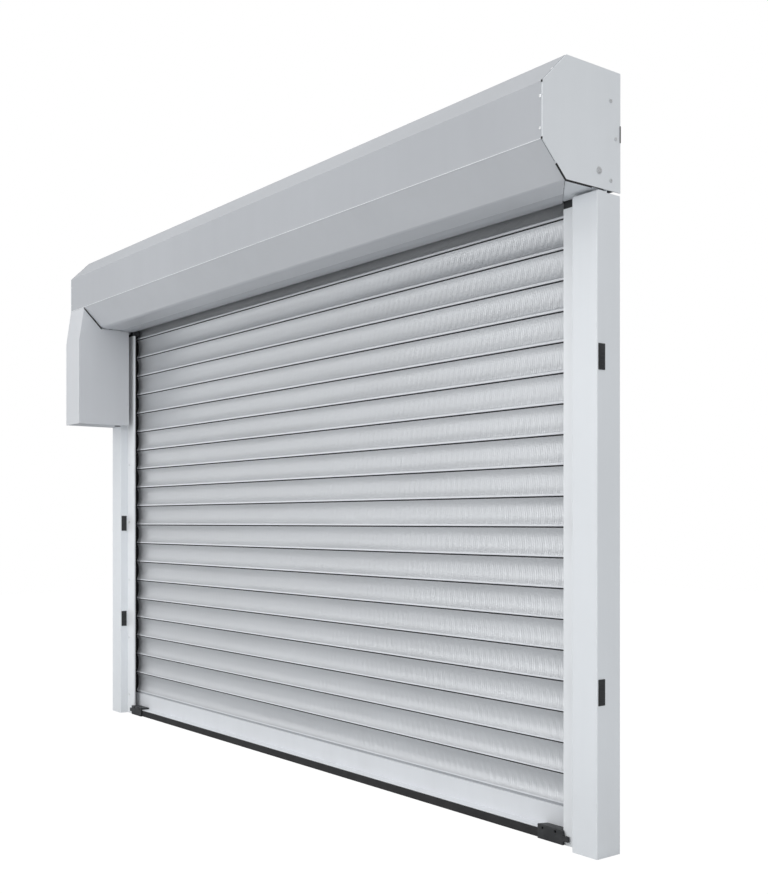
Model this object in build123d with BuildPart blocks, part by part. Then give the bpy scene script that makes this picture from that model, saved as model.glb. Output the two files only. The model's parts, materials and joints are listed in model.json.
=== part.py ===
"""Roller shutter door: slatted curtain, side guides, barrel housing and side operator.

Millimetres. X runs along the width, Y into the wall, Z up. The origin is on the wall
plane, at floor level, half way across the doorway. The door is modelled closed.
"""

import math
import os

from build123d import *

os.makedirs("parts", exist_ok=True)

# Doorway and guides
CLEAR_WIDTH = 2406.0  # between the lips of the two guides
GUIDE_HEIGHT = 1573.0  # top of the guide tubes above the floor
LIP_WIDTH = 57.5  # lip plate from its free edge to the tube
LIP_SETBACK = 32.0  # lip face behind the tube's front face
LIP_RETURN = 7.0
CHANNEL_WALL = 2.0
TUBE_WIDTH = 79.5
TUBE_DEPTH = 82.5
TUBE_WALL = 2.5
TUBE_CORNER = 2.5
FUNNEL_HEIGHT = 34.0
FUNNEL_OVERLAP = 24.0  # how far the funnel's top stands above the guide tube
STRIP_EDGE = 36.0  # from the lip's free edge to the sliding strip
STRIP_WEB = 5.8
SLOT_FRONT = -22.8  # walls of the slot that the slat ends run in
SLOT_BACK = -4.2
SLOT_WALL = 6.0
SCREW_PITCH = 238.5
SCREW_START = 77.0
SCREW_FROM_STRIP = 4.5
FUNNEL_NECK = 30.0  # width of the funnel where it stands above the guide tube

# Access slots of the guide tubes, and the plugs that close them
PLUG_WIDTH = 22.0
PLUG_HEIGHT = 62.0
PLUG_THICK = 2.0
PLUG_SETBACK = 4.0
PLUG_LEDGE = 2.0
OUTER_PLUG_HEIGHTS = (392.0, 1184.0)
INNER_PLUG_HEIGHTS = (392.0, 788.0)
WALL_HOLE_RADIUS = 5.5

# Curtain
PITCH = 77.0
BAR_FACE_LOW = 25.0  # bottom of the metal bar, top of the rubber seal
BAR_FACE_HIGH = 83.0
FIRST_SLAT = 90.0  # bottom edge of the lowest slat
JOINT_GAP = 2.4
SLAT_WALL = 1.0
FRONT_PLANE = -20.0  # front of the slats at their joints
BACK_PLANE = -9.0  # back of the slats at their joints
FRONT_HOLLOW = 6.4  # depth of the concave front
BACK_CROWN = 4.0
SLAT_LIP = 6.0  # flat band along the slat's lower edge
LIP_STEP = 0.6
SLAT_END_GAP = 2.5  # from the slat's end to the sliding strip
TONGUE_CENTRE = -13.8
TONGUE_THICK = 1.6
BEAD_RADIUS = 1.8
BEAD_RISE = 7.5  # bead centre above the next slat's bottom edge
MOUTH_HALF = 1.4
HOOK_HEIGHT = 11.0
LOCK_NOSE_END = 2.5  # from the end lock's nose to the bottom of its slot
LOCK_FLANGE = 2.5

# Bottom bar, seal and stops
BAR_FRONT = -21.6
BAR_BACK = -6.0
BAR_WALL = 1.8
FOOT_FRONT = -52.0  # front of the bar's ledge and of the seal below it
FOOT_WALL = 2.0
STOP_LENGTH = 86.0
STOP_HEIGHT = 36.5
STOP_FALL = 4.0  # how far its top falls towards the bar
STOP_FRONT = -58.0
STOP_TAB = 17.0
STOP_LIP_GAP = 2.0

# Housing
BOX_GAP = 7.0  # between the guide tubes and the housing
BOX_HEIGHT = 286.0
BOX_DEPTH = 265.0
CHAMFER_SIZE = 78.0
SHEET = 1.2
END_PLATE = 3.0
END_FLANGE = 22.0
END_FLANGE_WALL = 2.0
END_GAP = 1.0  # open seam between the fascia and an end plate
INLET_BACK = -45.0
INLET_DEPTH = 60.0
INLET_BULGE = 5.0

# Barrel
BARREL_FLATS = 70.0
BARREL_WALL = 1.5
BARREL_OVER_CURTAIN = 12.0
SHAFT_RADIUS = 12.5
SHAFT_CLEARANCE = 0.05
PLUG_INSERT = 40.0
PLUG_FLANGE = 4.0
BEARING_DEPTH = 18.0
BEARING_PLATE = 5.0
HANGER_STATIONS = (-1000.0, -400.0, 400.0, 1000.0)
HANGER_WIDTH = 40.0
HANGER_THICK = 1.0
HANGER_BEND = 30.0

# Chain drive and operator
CHAIN_PITCH = 12.7
CHAIN_RUN_LINKS = 28
TEETH = 18
ROLLER_RADIUS = 4.0
CHAIN_LEAN = 40.0  # how far the operator's shaft stands in front of the barrel's
SPROCKET_THICK = 7.2
SPROCKET_FROM_PLATE = 40.0
COVER_WIDTH = 131.5
COVER_DROP = 390.0  # below the housing
COVER_BEND_DROP = 60.0
COVER_PROUD = 20.0
COVER_WALL = 1.2
COVER_SIDE_LAP = 12.5  # how far its inner side reaches behind the tube's front
GLAND_RADIUS = 12.0
GLAND_BORE = 5.0

# Worked out from the sizes above
LIP_EDGE = CLEAR_WIDTH / 2
TUBE_INNER = LIP_EDGE + LIP_WIDTH
TUBE_OUTER = TUBE_INNER + TUBE_WIDTH
TUBE_MID = (TUBE_INNER + TUBE_OUTER) / 2
LIP_FRONT = LIP_SETBACK - TUBE_DEPTH
STRIP_INNER = LIP_EDGE + STRIP_EDGE
STRIP_OUTER = TUBE_INNER - CHANNEL_WALL
SLOT_END = STRIP_OUTER - SLOT_WALL
FUNNEL_TOP = GUIDE_HEIGHT + FUNNEL_OVERLAP
CHANNEL_TOP = FUNNEL_TOP - FUNNEL_HEIGHT
SLAT_HALF = STRIP_INNER - SLAT_END_GAP
LOCK_END = SLOT_END - LOCK_NOSE_END
BOX_BOTTOM = GUIDE_HEIGHT + BOX_GAP
BOX_TOP = BOX_BOTTOM + BOX_HEIGHT
BARREL_Y = -BOX_DEPTH / 2
BARREL_Z = BOX_BOTTOM + BOX_HEIGHT / 2
SLAT_COUNT = int((BARREL_Z + BARREL_FLATS / 2 - HANGER_BEND - FIRST_SLAT) // PITCH)
BARREL_HALF = LOCK_END + BARREL_OVER_CURTAIN
PLATE_INNER = TUBE_OUTER - END_PLATE
SHOULDER = PITCH - JOINT_GAP
COVER_INNER = COVER_WIDTH - TUBE_OUTER
COVER_LOW = BOX_BOTTOM - COVER_DROP
COVER_BEND = BOX_BOTTOM - COVER_BEND_DROP
SCREW_X = STRIP_INNER + SCREW_FROM_STRIP
CLEAR = 0.3


def section_at(x):
    """Plane of a cross-section: its first axis is Y and its second is Z."""
    return Plane.YZ.offset(x)


def inset(points, gap):
    """Moves an open chain of points to its right-hand side by a gap, with sharp corners."""
    normals = []
    for (y0, z0), (y1, z1) in zip(points, points[1:]):
        length = math.hypot(y1 - y0, z1 - z0)
        normals.append(((z1 - z0) / length, (y0 - y1) / length))
    ends = [normals[0], *normals, normals[-1]]
    moved = []
    for (y, z), (ny0, nz0), (ny1, nz1) in zip(points, ends, ends[1:]):
        share = gap / (1 + ny0 * ny1 + nz0 * nz1)
        moved.append((y + (ny0 + ny1) * share, z + (nz0 + nz1) * share))
    return moved


def sheet_outline(points, thickness):
    """Closed outline of a folded sheet whose outer face follows the points."""
    return [*points, *reversed(inset(points, thickness))]


def bow(z, low, high, edge, depth, grow=0.0):
    """Y of a circular bow between two heights, depth beyond its edge plane at the middle."""
    half = (high - low) / 2
    radius = (half * half + depth * depth) / (2 * depth)
    centre = edge + depth - radius
    return centre + math.sqrt((radius + grow) ** 2 - (z - low - half) ** 2)


def block(low, high):
    """Box between two opposite corners."""
    size = [b - a for a, b in zip(low, high)]
    middle = [(a + b) / 2 for a, b in zip(low, high)]
    with Locations(tuple(middle)):
        Box(*size)


def block_cut(low, high):
    """Removes a box between two opposite corners."""
    size = [b - a for a, b in zip(low, high)]
    middle = [(a + b) / 2 for a, b in zip(low, high)]
    with Locations(tuple(middle)):
        Box(*size, mode=Mode.SUBTRACT)


# Guides: a box tube that carries the load, with a lip channel on its inner side

with BuildPart() as right_guide_tube:
    with BuildSketch(Plane.XY):
        with Locations((TUBE_MID, -TUBE_DEPTH / 2)):
            RectangleRounded(TUBE_WIDTH, TUBE_DEPTH, TUBE_CORNER)
            Rectangle(TUBE_WIDTH - 2 * TUBE_WALL, TUBE_DEPTH - 2 * TUBE_WALL, mode=Mode.SUBTRACT)
    extrude(amount=GUIDE_HEIGHT)
    plug_y = -TUBE_DEPTH + PLUG_SETBACK + PLUG_WIDTH / 2
    slot_width = PLUG_WIDTH - 2 * PLUG_LEDGE
    slot_height = PLUG_HEIGHT - 2 * PLUG_LEDGE
    with Locations([(TUBE_OUTER, plug_y, z) for z in OUTER_PLUG_HEIGHTS]):
        Box(4 * TUBE_WALL, slot_width, slot_height, mode=Mode.SUBTRACT)
    with Locations([(TUBE_INNER, plug_y, z) for z in INNER_PLUG_HEIGHTS]):
        Box(4 * TUBE_WALL, slot_width, slot_height, mode=Mode.SUBTRACT)
    with Locations([(TUBE_MID, 0, z) for z in OUTER_PLUG_HEIGHTS]):
        Cylinder(WALL_HOLE_RADIUS, 4 * TUBE_WALL, rotation=(90, 0, 0), mode=Mode.SUBTRACT)
right_guide_tube.part.label = "right_guide_tube"
export_step(right_guide_tube.part, "parts/right_guide_tube.step")

screw_heights = [
    SCREW_START + SCREW_PITCH * i for i in range(int((CHANNEL_TOP - SCREW_START) // SCREW_PITCH) + 1)
]
SCREW_SHANK = 1.8
SCREW_FIT = 0.1
SCREW_HOLE = SCREW_SHANK + SCREW_FIT
screw_line = [(SCREW_X, LIP_FRONT, z) for z in screw_heights]

with BuildPart() as right_guide_channel:
    with BuildSketch(Plane.XY):
        with BuildLine():
            Polyline(
                (LIP_EDGE, LIP_FRONT),
                (TUBE_INNER, LIP_FRONT),
                (TUBE_INNER, 0),
                (LIP_EDGE + LIP_RETURN, 0),
                (LIP_EDGE + LIP_RETURN, -CHANNEL_WALL),
                (STRIP_OUTER, -CHANNEL_WALL),
                (STRIP_OUTER, LIP_FRONT + CHANNEL_WALL),
                (LIP_EDGE + CHANNEL_WALL, LIP_FRONT + CHANNEL_WALL),
                (LIP_EDGE + CHANNEL_WALL, LIP_FRONT + LIP_RETURN),
                (LIP_EDGE, LIP_FRONT + LIP_RETURN),
                close=True,
            )
        make_face()
    extrude(amount=CHANNEL_TOP)
    with Locations(screw_line):
        Cylinder(SCREW_HOLE, 3 * CHANNEL_WALL, rotation=(90, 0, 0), mode=Mode.SUBTRACT)
right_guide_channel.part.label = "right_guide_channel"
export_step(right_guide_channel.part, "parts/right_guide_channel.step")

with BuildPart() as left_guide_channel:
    mirror(right_guide_channel.part, about=Plane.YZ)
left_guide_channel.part.label = "left_guide_channel"
export_step(left_guide_channel.part, "parts/left_guide_channel.step")

STRIP_FIT = 0.2
STRIP_FOOT = 0.5
strip_front = LIP_FRONT + CHANNEL_WALL + STRIP_FIT
strip_back = -CHANNEL_WALL - STRIP_FIT
SHANK_MARGIN = 7.7
SHANK_LENGTH = SLOT_FRONT - LIP_FRONT - SHANK_MARGIN

with BuildPart() as sliding_strips:
    with BuildSketch(Plane.XY.offset(STRIP_FOOT)):
        with BuildLine():
            Polyline(
                (STRIP_INNER, strip_front),
                (STRIP_OUTER - STRIP_FIT, strip_front),
                (STRIP_OUTER - STRIP_FIT, strip_back),
                (STRIP_INNER, strip_back),
                (STRIP_INNER, SLOT_BACK),
                (SLOT_END, SLOT_BACK),
                (SLOT_END, SLOT_FRONT),
                (STRIP_INNER, SLOT_FRONT),
                close=True,
            )
        make_face()
    extrude(amount=CHANNEL_TOP - 2 * STRIP_FOOT)
    with Locations([(x, y + SHANK_LENGTH / 2, z) for x, y, z in screw_line]):
        Cylinder(SCREW_HOLE, SHANK_LENGTH + 2, rotation=(90, 0, 0), mode=Mode.SUBTRACT)
    mirror(about=Plane.YZ)
sliding_strips.part.label = "sliding_strips"
export_step(sliding_strips.part, "parts/sliding_strips.step")

# Plastic entry funnels that stand on the lip channels

FUNNEL_FLARE = 10.0
FUNNEL_BACK = -1.5
FUNNEL_SIDE_GAP = 0.3

with BuildPart() as entry_funnels:
    with BuildSketch(Plane.XY.offset(CHANNEL_TOP)):
        with BuildLine():
            Polyline(
                (LIP_EDGE, LIP_FRONT),
                (TUBE_INNER - FUNNEL_SIDE_GAP, LIP_FRONT),
                (TUBE_INNER - FUNNEL_SIDE_GAP, FUNNEL_BACK),
                (STRIP_INNER, FUNNEL_BACK),
                (STRIP_INNER, SLOT_BACK + CLEAR),
                (SLOT_END, SLOT_BACK + CLEAR),
                (SLOT_END, SLOT_FRONT),
                (LIP_EDGE, SLOT_FRONT),
                close=True,
            )
        make_face()
    extrude(amount=FUNNEL_HEIGHT)
    with BuildSketch(section_at(LIP_EDGE - 1)):
        with BuildLine():
            Polyline(
                (SLOT_FRONT + 1, FUNNEL_TOP + 1),
                (SLOT_FRONT - FUNNEL_FLARE, FUNNEL_TOP + 1),
                (SLOT_FRONT - FUNNEL_FLARE, FUNNEL_TOP),
                (SLOT_FRONT, FUNNEL_TOP - 2 * FUNNEL_FLARE),
                (SLOT_FRONT + 1, FUNNEL_TOP - 2 * FUNNEL_FLARE),
                close=True,
            )
        make_face()
    extrude(amount=SLOT_END - LIP_EDGE + 1, mode=Mode.SUBTRACT)
    block_cut(
        (LIP_EDGE + FUNNEL_NECK, LIP_FRONT - 1, GUIDE_HEIGHT),
        (TUBE_INNER, 0, FUNNEL_TOP + 1),
    )
    mirror(about=Plane.YZ)
entry_funnels.part.label = "entry_funnels"
export_step(entry_funnels.part, "parts/entry_funnels.step")

# Black plugs that close the access slots, each with a clip tongue inside the tube

CLIP_REACH = 8.0
PLUG_RIB = 0.8
PLUG_RIBS = 5


def slot_plug(face_x, z, outward):
    """One plug: cover plate with ribs outside the face, and a tongue through the slot."""
    plate_x = face_x + outward * PLUG_THICK / 2
    with Locations((plate_x, plug_y, z)):
        Box(PLUG_THICK, PLUG_WIDTH, PLUG_HEIGHT)
    rib_step = PLUG_HEIGHT / (PLUG_RIBS + 1)
    rib_x = face_x + outward * (PLUG_THICK + PLUG_RIB / 2)
    for i in range(PLUG_RIBS):
        rib_z = z - PLUG_HEIGHT / 2 + rib_step * (i + 1)
        with Locations((rib_x, plug_y, rib_z)):
            Box(PLUG_RIB, slot_width, rib_step / 2)
    with Locations((face_x - outward * CLIP_REACH / 2, plug_y, z)):
        Box(CLIP_REACH, slot_width - 2 * CLEAR, slot_height - 2 * CLEAR)


with BuildPart() as slot_plugs:
    for plug_z in OUTER_PLUG_HEIGHTS:
        slot_plug(TUBE_OUTER, plug_z, 1)
    for plug_z in INNER_PLUG_HEIGHTS:
        slot_plug(TUBE_INNER, plug_z, -1)
    mirror(about=Plane.YZ)
slot_plugs.part.label = "slot_plugs"
export_step(slot_plugs.part, "parts/slot_plugs.step")

SCREW_HEAD = 4.0
SCREW_HEAD_HEIGHT = 2.0

with BuildPart() as guide_screws:
    with Locations([(x, y - SCREW_HEAD_HEIGHT / 2, z) for x, y, z in screw_line]):
        Cylinder(SCREW_HEAD, SCREW_HEAD_HEIGHT, rotation=(90, 0, 0))
    with Locations([(x, y + SHANK_LENGTH / 2, z) for x, y, z in screw_line]):
        Cylinder(SCREW_SHANK, SHANK_LENGTH, rotation=(90, 0, 0))
    mirror(about=Plane.YZ)
guide_screws.part.label = "guide_screws"
export_step(guide_screws.part, "parts/guide_screws.step")

# Guide head brackets: an angle that stands on the tube and ties it to the housing. The
# right one has a shelf that closes the housing's mitred corner. At the left the chain runs there.

HEAD_WALL = 3.0
HEAD_FRONT = LIP_FRONT + 2.5
HEAD_HEIGHT = 76.0
HEAD_SIDE = 4.0
HEAD_FOOT = 30.0
HEAD_FOOT_SIDE = 0.5
EAR_DEPTH = 42.0
EAR_LOW = 10.0
EAR_HEIGHT = 60.0
EAR_BOLT_Y = -76.0
EAR_BOLT_RISE = 41.0
EAR_BOLT_RADIUS = 4.0
EAR_HEX_RADIUS = 6.5
HEAD_BOLT_X = TUBE_OUTER - 22.0
HEAD_BOLT_Y = HEAD_FRONT - HEAD_FOOT / 2
HEAD_BOLT_RADIUS = 4.0
HEX_RADIUS = 7.5
HEX_HEIGHT = 5.0
NUT_DEPTH = 24.0
NUT_THICK = 8.0
SHELF_GAP = 1.5  # between the shelf and the sheets round it
SHELF_THICK = 2.0
SHELF_FRONT = -178.0
SHELF_SIDE = 3.0
shelf_low = GUIDE_HEIGHT + HEAD_WALL + HEX_HEIGHT + CLEAR
NOTCH_EDGE = LIP_EDGE - 3.0
MITRE_SUM = NOTCH_EDGE + LIP_FRONT - 1.5  # X + Y along the mitred corner at the right
shelf_left = LIP_EDGE + HEAD_SIDE
shelf_sum = MITRE_SUM + SHELF_GAP
head_back = HEAD_FRONT + HEAD_WALL
foot_top = GUIDE_HEIGHT + HEAD_WALL

with BuildPart() as guide_head_brackets:
    block(
        (LIP_EDGE + HEAD_SIDE, HEAD_FRONT, FUNNEL_TOP),
        (PLATE_INNER, head_back, FUNNEL_TOP + HEAD_HEIGHT),
    )
    block((TUBE_INNER + HEAD_FOOT_SIDE, HEAD_FRONT, GUIDE_HEIGHT), (PLATE_INNER, head_back, FUNNEL_TOP))
    block(
        (TUBE_INNER + HEAD_FOOT_SIDE, HEAD_FRONT - HEAD_FOOT, GUIDE_HEIGHT),
        (TUBE_OUTER - HEAD_FOOT_SIDE, HEAD_FRONT, foot_top),
    )
    block(
        (PLATE_INNER - HEAD_WALL, HEAD_FRONT - EAR_DEPTH, BOX_BOTTOM + EAR_LOW),
        (PLATE_INNER, HEAD_FRONT, BOX_BOTTOM + EAR_LOW + EAR_HEIGHT),
    )
    with Locations((HEAD_BOLT_X, HEAD_BOLT_Y, GUIDE_HEIGHT)):
        Cylinder(HEAD_BOLT_RADIUS + CLEAR, 4 * HEAD_WALL, mode=Mode.SUBTRACT)
    with Locations((PLATE_INNER, EAR_BOLT_Y, BOX_BOTTOM + EAR_BOLT_RISE)):
        Cylinder(EAR_BOLT_RADIUS + CLEAR, 4 * HEAD_WALL, rotation=(0, 90, 0), mode=Mode.SUBTRACT)
    mirror(about=Plane.YZ)
    with BuildSketch(Plane.XY.offset(shelf_low)):
        with BuildLine():
            Polyline(
                (shelf_left, LIP_FRONT - SHELF_GAP),
                (shelf_left, shelf_sum - shelf_left),
                (shelf_sum - SHELF_FRONT, SHELF_FRONT),
                (PLATE_INNER - SHELF_SIDE, SHELF_FRONT),
                (PLATE_INNER - SHELF_SIDE, HEAD_FRONT),
                (TUBE_INNER + HEAD_FOOT_SIDE, HEAD_FRONT),
                (TUBE_INNER + HEAD_FOOT_SIDE, LIP_FRONT - SHELF_GAP),
                close=True,
            )
        make_face()
    extrude(amount=SHELF_THICK)
guide_head_brackets.part.label = "guide_head_brackets"
export_step(guide_head_brackets.part, "parts/guide_head_brackets.step")

with BuildPart() as guide_head_bolts:
    with BuildSketch(Plane.XY.offset(foot_top)):
        with Locations((HEAD_BOLT_X, HEAD_BOLT_Y)):
            RegularPolygon(HEX_RADIUS, 6)
    extrude(amount=HEX_HEIGHT)
    with BuildSketch(Plane.XY.offset(foot_top)):
        with Locations((HEAD_BOLT_X, HEAD_BOLT_Y)):
            Circle(HEAD_BOLT_RADIUS)
    extrude(amount=-HEAD_WALL - NUT_THICK)
    block(
        (TUBE_INNER + TUBE_WALL + CLEAR, HEAD_BOLT_Y - NUT_DEPTH / 2, GUIDE_HEIGHT - NUT_THICK),
        (TUBE_OUTER - TUBE_WALL - CLEAR, HEAD_BOLT_Y + NUT_DEPTH / 2, GUIDE_HEIGHT),
    )
    mirror(about=Plane.YZ)
guide_head_bolts.part.label = "guide_head_bolts"
export_step(guide_head_bolts.part, "parts/guide_head_bolts.step")

# Curtain: every slat is a hollow profile, concave in front, with a hook and a bead

bead_z = PITCH + BEAD_RISE
neck_drop = math.sqrt(BEAD_RADIUS**2 - (TONGUE_THICK / 2) ** 2)
lip_top = SLAT_LIP + LIP_STEP
front_edge = FRONT_PLANE + LIP_STEP
CHAMBER_LOW = HOOK_HEIGHT + SLAT_WALL
POCKET_MARGIN = 0.2
LOCK_PLUG_LOW = 13.0
LOCK_PLUG_HIGH = 18.0
LOCK_PLUG_LENGTH = 30.0
LOCK_FLANGE_INSET = 6.0
LOCK_LAP = 1.5


def front_y(z, grow=0.0):
    """Front skin of a slat at height z above its bottom edge."""
    return bow(z, lip_top, SHOULDER, front_edge, FRONT_HOLLOW, grow)


def back_y(z, grow=0.0):
    """Back skin of a slat at height z above its bottom edge."""
    return bow(z, 0, SHOULDER, BACK_PLANE, BACK_CROWN, grow)


def tongue_lines(shoulder_z, bead_centre):
    """Tongue and bead, from the shoulder's front corner round to its back corner."""
    half = TONGUE_THICK / 2
    Polyline(
        (TONGUE_CENTRE - half, shoulder_z),
        (TONGUE_CENTRE - half, bead_centre - neck_drop),
    )
    ThreePointArc(
        (TONGUE_CENTRE - half, bead_centre - neck_drop),
        (TONGUE_CENTRE, bead_centre + BEAD_RADIUS),
        (TONGUE_CENTRE + half, bead_centre - neck_drop),
    )
    Polyline(
        (TONGUE_CENTRE + half, bead_centre - neck_drop),
        (TONGUE_CENTRE + half, shoulder_z),
    )


def slat_outline(low):
    """Outer outline of one slat whose bottom edge is at height low."""
    middle = (lip_top + SHOULDER) / 2
    Polyline(
        (BACK_PLANE, low),
        (FRONT_PLANE, low),
        (FRONT_PLANE, low + SLAT_LIP),
        (front_edge, low + lip_top),
    )
    ThreePointArc(
        (front_edge, low + lip_top),
        (front_y(middle), low + middle),
        (front_edge, low + SHOULDER),
    )
    Polyline((front_edge, low + SHOULDER), (TONGUE_CENTRE - TONGUE_THICK / 2, low + SHOULDER))
    tongue_lines(low + SHOULDER, low + bead_z)
    Polyline((TONGUE_CENTRE + TONGUE_THICK / 2, low + SHOULDER), (BACK_PLANE, low + SHOULDER))
    ThreePointArc(
        (BACK_PLANE, low + SHOULDER),
        (back_y(SHOULDER / 2), low + SHOULDER / 2),
        (BACK_PLANE, low),
    )


def slat_chamber(low):
    """Outline of the slat's main chamber, one wall inside its skins."""
    high = SHOULDER - SLAT_WALL
    middle = (CHAMBER_LOW + high) / 2
    front = [(front_y(z, SLAT_WALL), low + z) for z in (CHAMBER_LOW, middle, high)]
    back = [(back_y(z, -SLAT_WALL), low + z) for z in (high, middle, CHAMBER_LOW)]
    ThreePointArc(*front)
    Line(front[-1], back[0])
    ThreePointArc(*back)
    Line(back[-1], front[0])


def hook_pocket(low, wall):
    """Pocket along a bottom edge that takes the bead below, and its narrower mouth."""
    pocket_front = front_y(HOOK_HEIGHT, wall) + POCKET_MARGIN
    pocket_back = BACK_PLANE - wall - POCKET_MARGIN
    with Locations(((pocket_front + pocket_back) / 2, low + (wall + HOOK_HEIGHT) / 2)):
        Rectangle(pocket_back - pocket_front, HOOK_HEIGHT - wall, mode=Mode.SUBTRACT)
    with Locations((TONGUE_CENTRE, low)):
        Rectangle(2 * MOUTH_HALF, 2 * (wall + POCKET_MARGIN), mode=Mode.SUBTRACT)


def end_lock(low):
    """Plastic end lock of a slat: plug in the chamber, flange and nose in the guide."""
    plug_low = CHAMBER_LOW + LOCK_PLUG_LOW
    plug_high = SHOULDER - LOCK_PLUG_HIGH
    plug_front = front_y((lip_top + SHOULDER) / 2, SLAT_WALL) + CLEAR
    plug_back = min(back_y(plug_low, -SLAT_WALL), back_y(plug_high, -SLAT_WALL)) - CLEAR
    middle = low + SHOULDER / 2
    flange = SHOULDER / 2 - LOCK_FLANGE_INSET
    block(
        (SLAT_HALF - LOCK_PLUG_LENGTH, plug_front, low + plug_low),
        (SLAT_HALF + CLEAR, plug_back, low + plug_high),
    )
    block(
        (SLAT_HALF + CLEAR, plug_front - LOCK_LAP, middle - flange),
        (SLAT_HALF + LOCK_FLANGE, plug_back + LOCK_LAP, middle + flange),
    )
    block(
        (SLAT_HALF + LOCK_FLANGE, plug_front - LOCK_LAP, middle - SHOULDER / 4),
        (LOCK_END, plug_back + LOCK_LAP, middle + SHOULDER / 4),
    )


for number in range(1, SLAT_COUNT + 1):
    slat_low = FIRST_SLAT + PITCH * (number - 1)
    with BuildPart() as slat:
        with BuildSketch(section_at(-SLAT_HALF)):
            with BuildLine():
                slat_outline(slat_low)
            make_face()
            with BuildLine():
                slat_chamber(slat_low)
            make_face(mode=Mode.SUBTRACT)
            hook_pocket(slat_low, SLAT_WALL)
        extrude(amount=2 * SLAT_HALF)
    with BuildPart() as locks:
        end_lock(slat_low)
        mirror(about=Plane.YZ)
    slat_group = Compound(label=f"slat_{number:02d}", children=[*slat.solids(), *locks.solids()])
    export_step(slat_group, f"parts/slat_{number:02d}.step")

# Rubber seal of the bottom bar, which rests on the floor

BAR_END = SLOT_END - 5.0
STOP_REACH = 4.5
SEAL_FIT = 0.3
STEM_HALF = 2.0
HEAD_HALF = 4.5
HEAD_LOW = BAR_FACE_LOW + 6.0
HEAD_HIGH = BAR_FACE_LOW + 10.0
seal_middle = (BAR_FRONT + BAR_BACK) / 2

SEAL_ROUND = 5.0
SEAL_SKIN = 3.0
STOP_SEAM = 0.5
stop_right = LIP_EDGE + STOP_REACH
stop_left = stop_right - STOP_LENGTH
foot_half = stop_left - STOP_SEAM

with BuildPart() as bottom_seal:
    with BuildSketch(section_at(-BAR_END)):
        with BuildLine():
            Polyline(
                (BAR_FRONT, 0),
                (BAR_BACK - SEAL_ROUND, 0),
                (BAR_BACK, SEAL_ROUND),
                (BAR_BACK, BAR_FACE_LOW),
                (BAR_FRONT, BAR_FACE_LOW),
                close=True,
            )
        make_face()
        with Locations((seal_middle, BAR_FACE_LOW / 2)):
            RectangleRounded(
                BAR_BACK - BAR_FRONT - 2 * SEAL_SKIN,
                BAR_FACE_LOW - 3 * SEAL_SKIN,
                SEAL_SKIN,
                mode=Mode.SUBTRACT,
            )
        with Locations((seal_middle, (BAR_FACE_LOW + HEAD_LOW) / 2)):
            Rectangle(2 * STEM_HALF, HEAD_LOW - BAR_FACE_LOW)
        with Locations((seal_middle, (HEAD_LOW + HEAD_HIGH) / 2)):
            Rectangle(2 * HEAD_HALF, HEAD_HIGH - HEAD_LOW)
    extrude(amount=2 * BAR_END)
    with BuildSketch(section_at(-foot_half)):
        with BuildLine():
            Polyline(
                (BAR_FRONT, 0),
                (BAR_FRONT, BAR_FACE_LOW),
                (FOOT_FRONT, BAR_FACE_LOW),
                (FOOT_FRONT, SEAL_SKIN),
                (FOOT_FRONT + SEAL_SKIN, 0),
                close=True,
            )
        make_face()
        with Locations(((BAR_FRONT + FOOT_FRONT) / 2, BAR_FACE_LOW / 2)):
            RectangleRounded(
                BAR_FRONT - FOOT_FRONT - 2 * SEAL_SKIN,
                BAR_FACE_LOW - 2 * SEAL_SKIN,
                SEAL_SKIN,
                mode=Mode.SUBTRACT,
            )
    extrude(amount=2 * foot_half)
bottom_seal.part.label = "bottom_seal"
export_step(bottom_seal.part, "parts/bottom_seal.step")

# Bottom bar, the ledge profile let into its lower front edge over the wide seal, and the
# stepped black end stops whose tabs
# reach in front of the guide lips

STOP_FOOT = 0.5
STOP_TAB_LOW = 10.5
STOP_TAB_HIGH = 24.0
STOP_EDGE = 2.0
STOP_SCREW_Z = BAR_FACE_LOW + 4.0
STOP_SCREW_INSET = 17.0
STOP_SCREW_HEAD = 3.2
STOP_SCREW_SHANK = 1.6
STOP_SCREW_SINK = 28.0
STOP_SCREW_BITE = 2.6
SCREW_HEAD_THICK = 4.0
LEDGE_BITE = 1.2
stop_step = LIP_EDGE - 2 * STOP_LIP_GAP
stop_high = STOP_FOOT + STOP_HEIGHT
stop_back = LIP_FRONT - STOP_LIP_GAP
stop_screws = [stop_left + STOP_SCREW_INSET, stop_step - STOP_SCREW_INSET]
stop_seat = STOP_FRONT + STOP_SCREW_SINK
stop_screw_end = BAR_FRONT + STOP_SCREW_BITE

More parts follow.
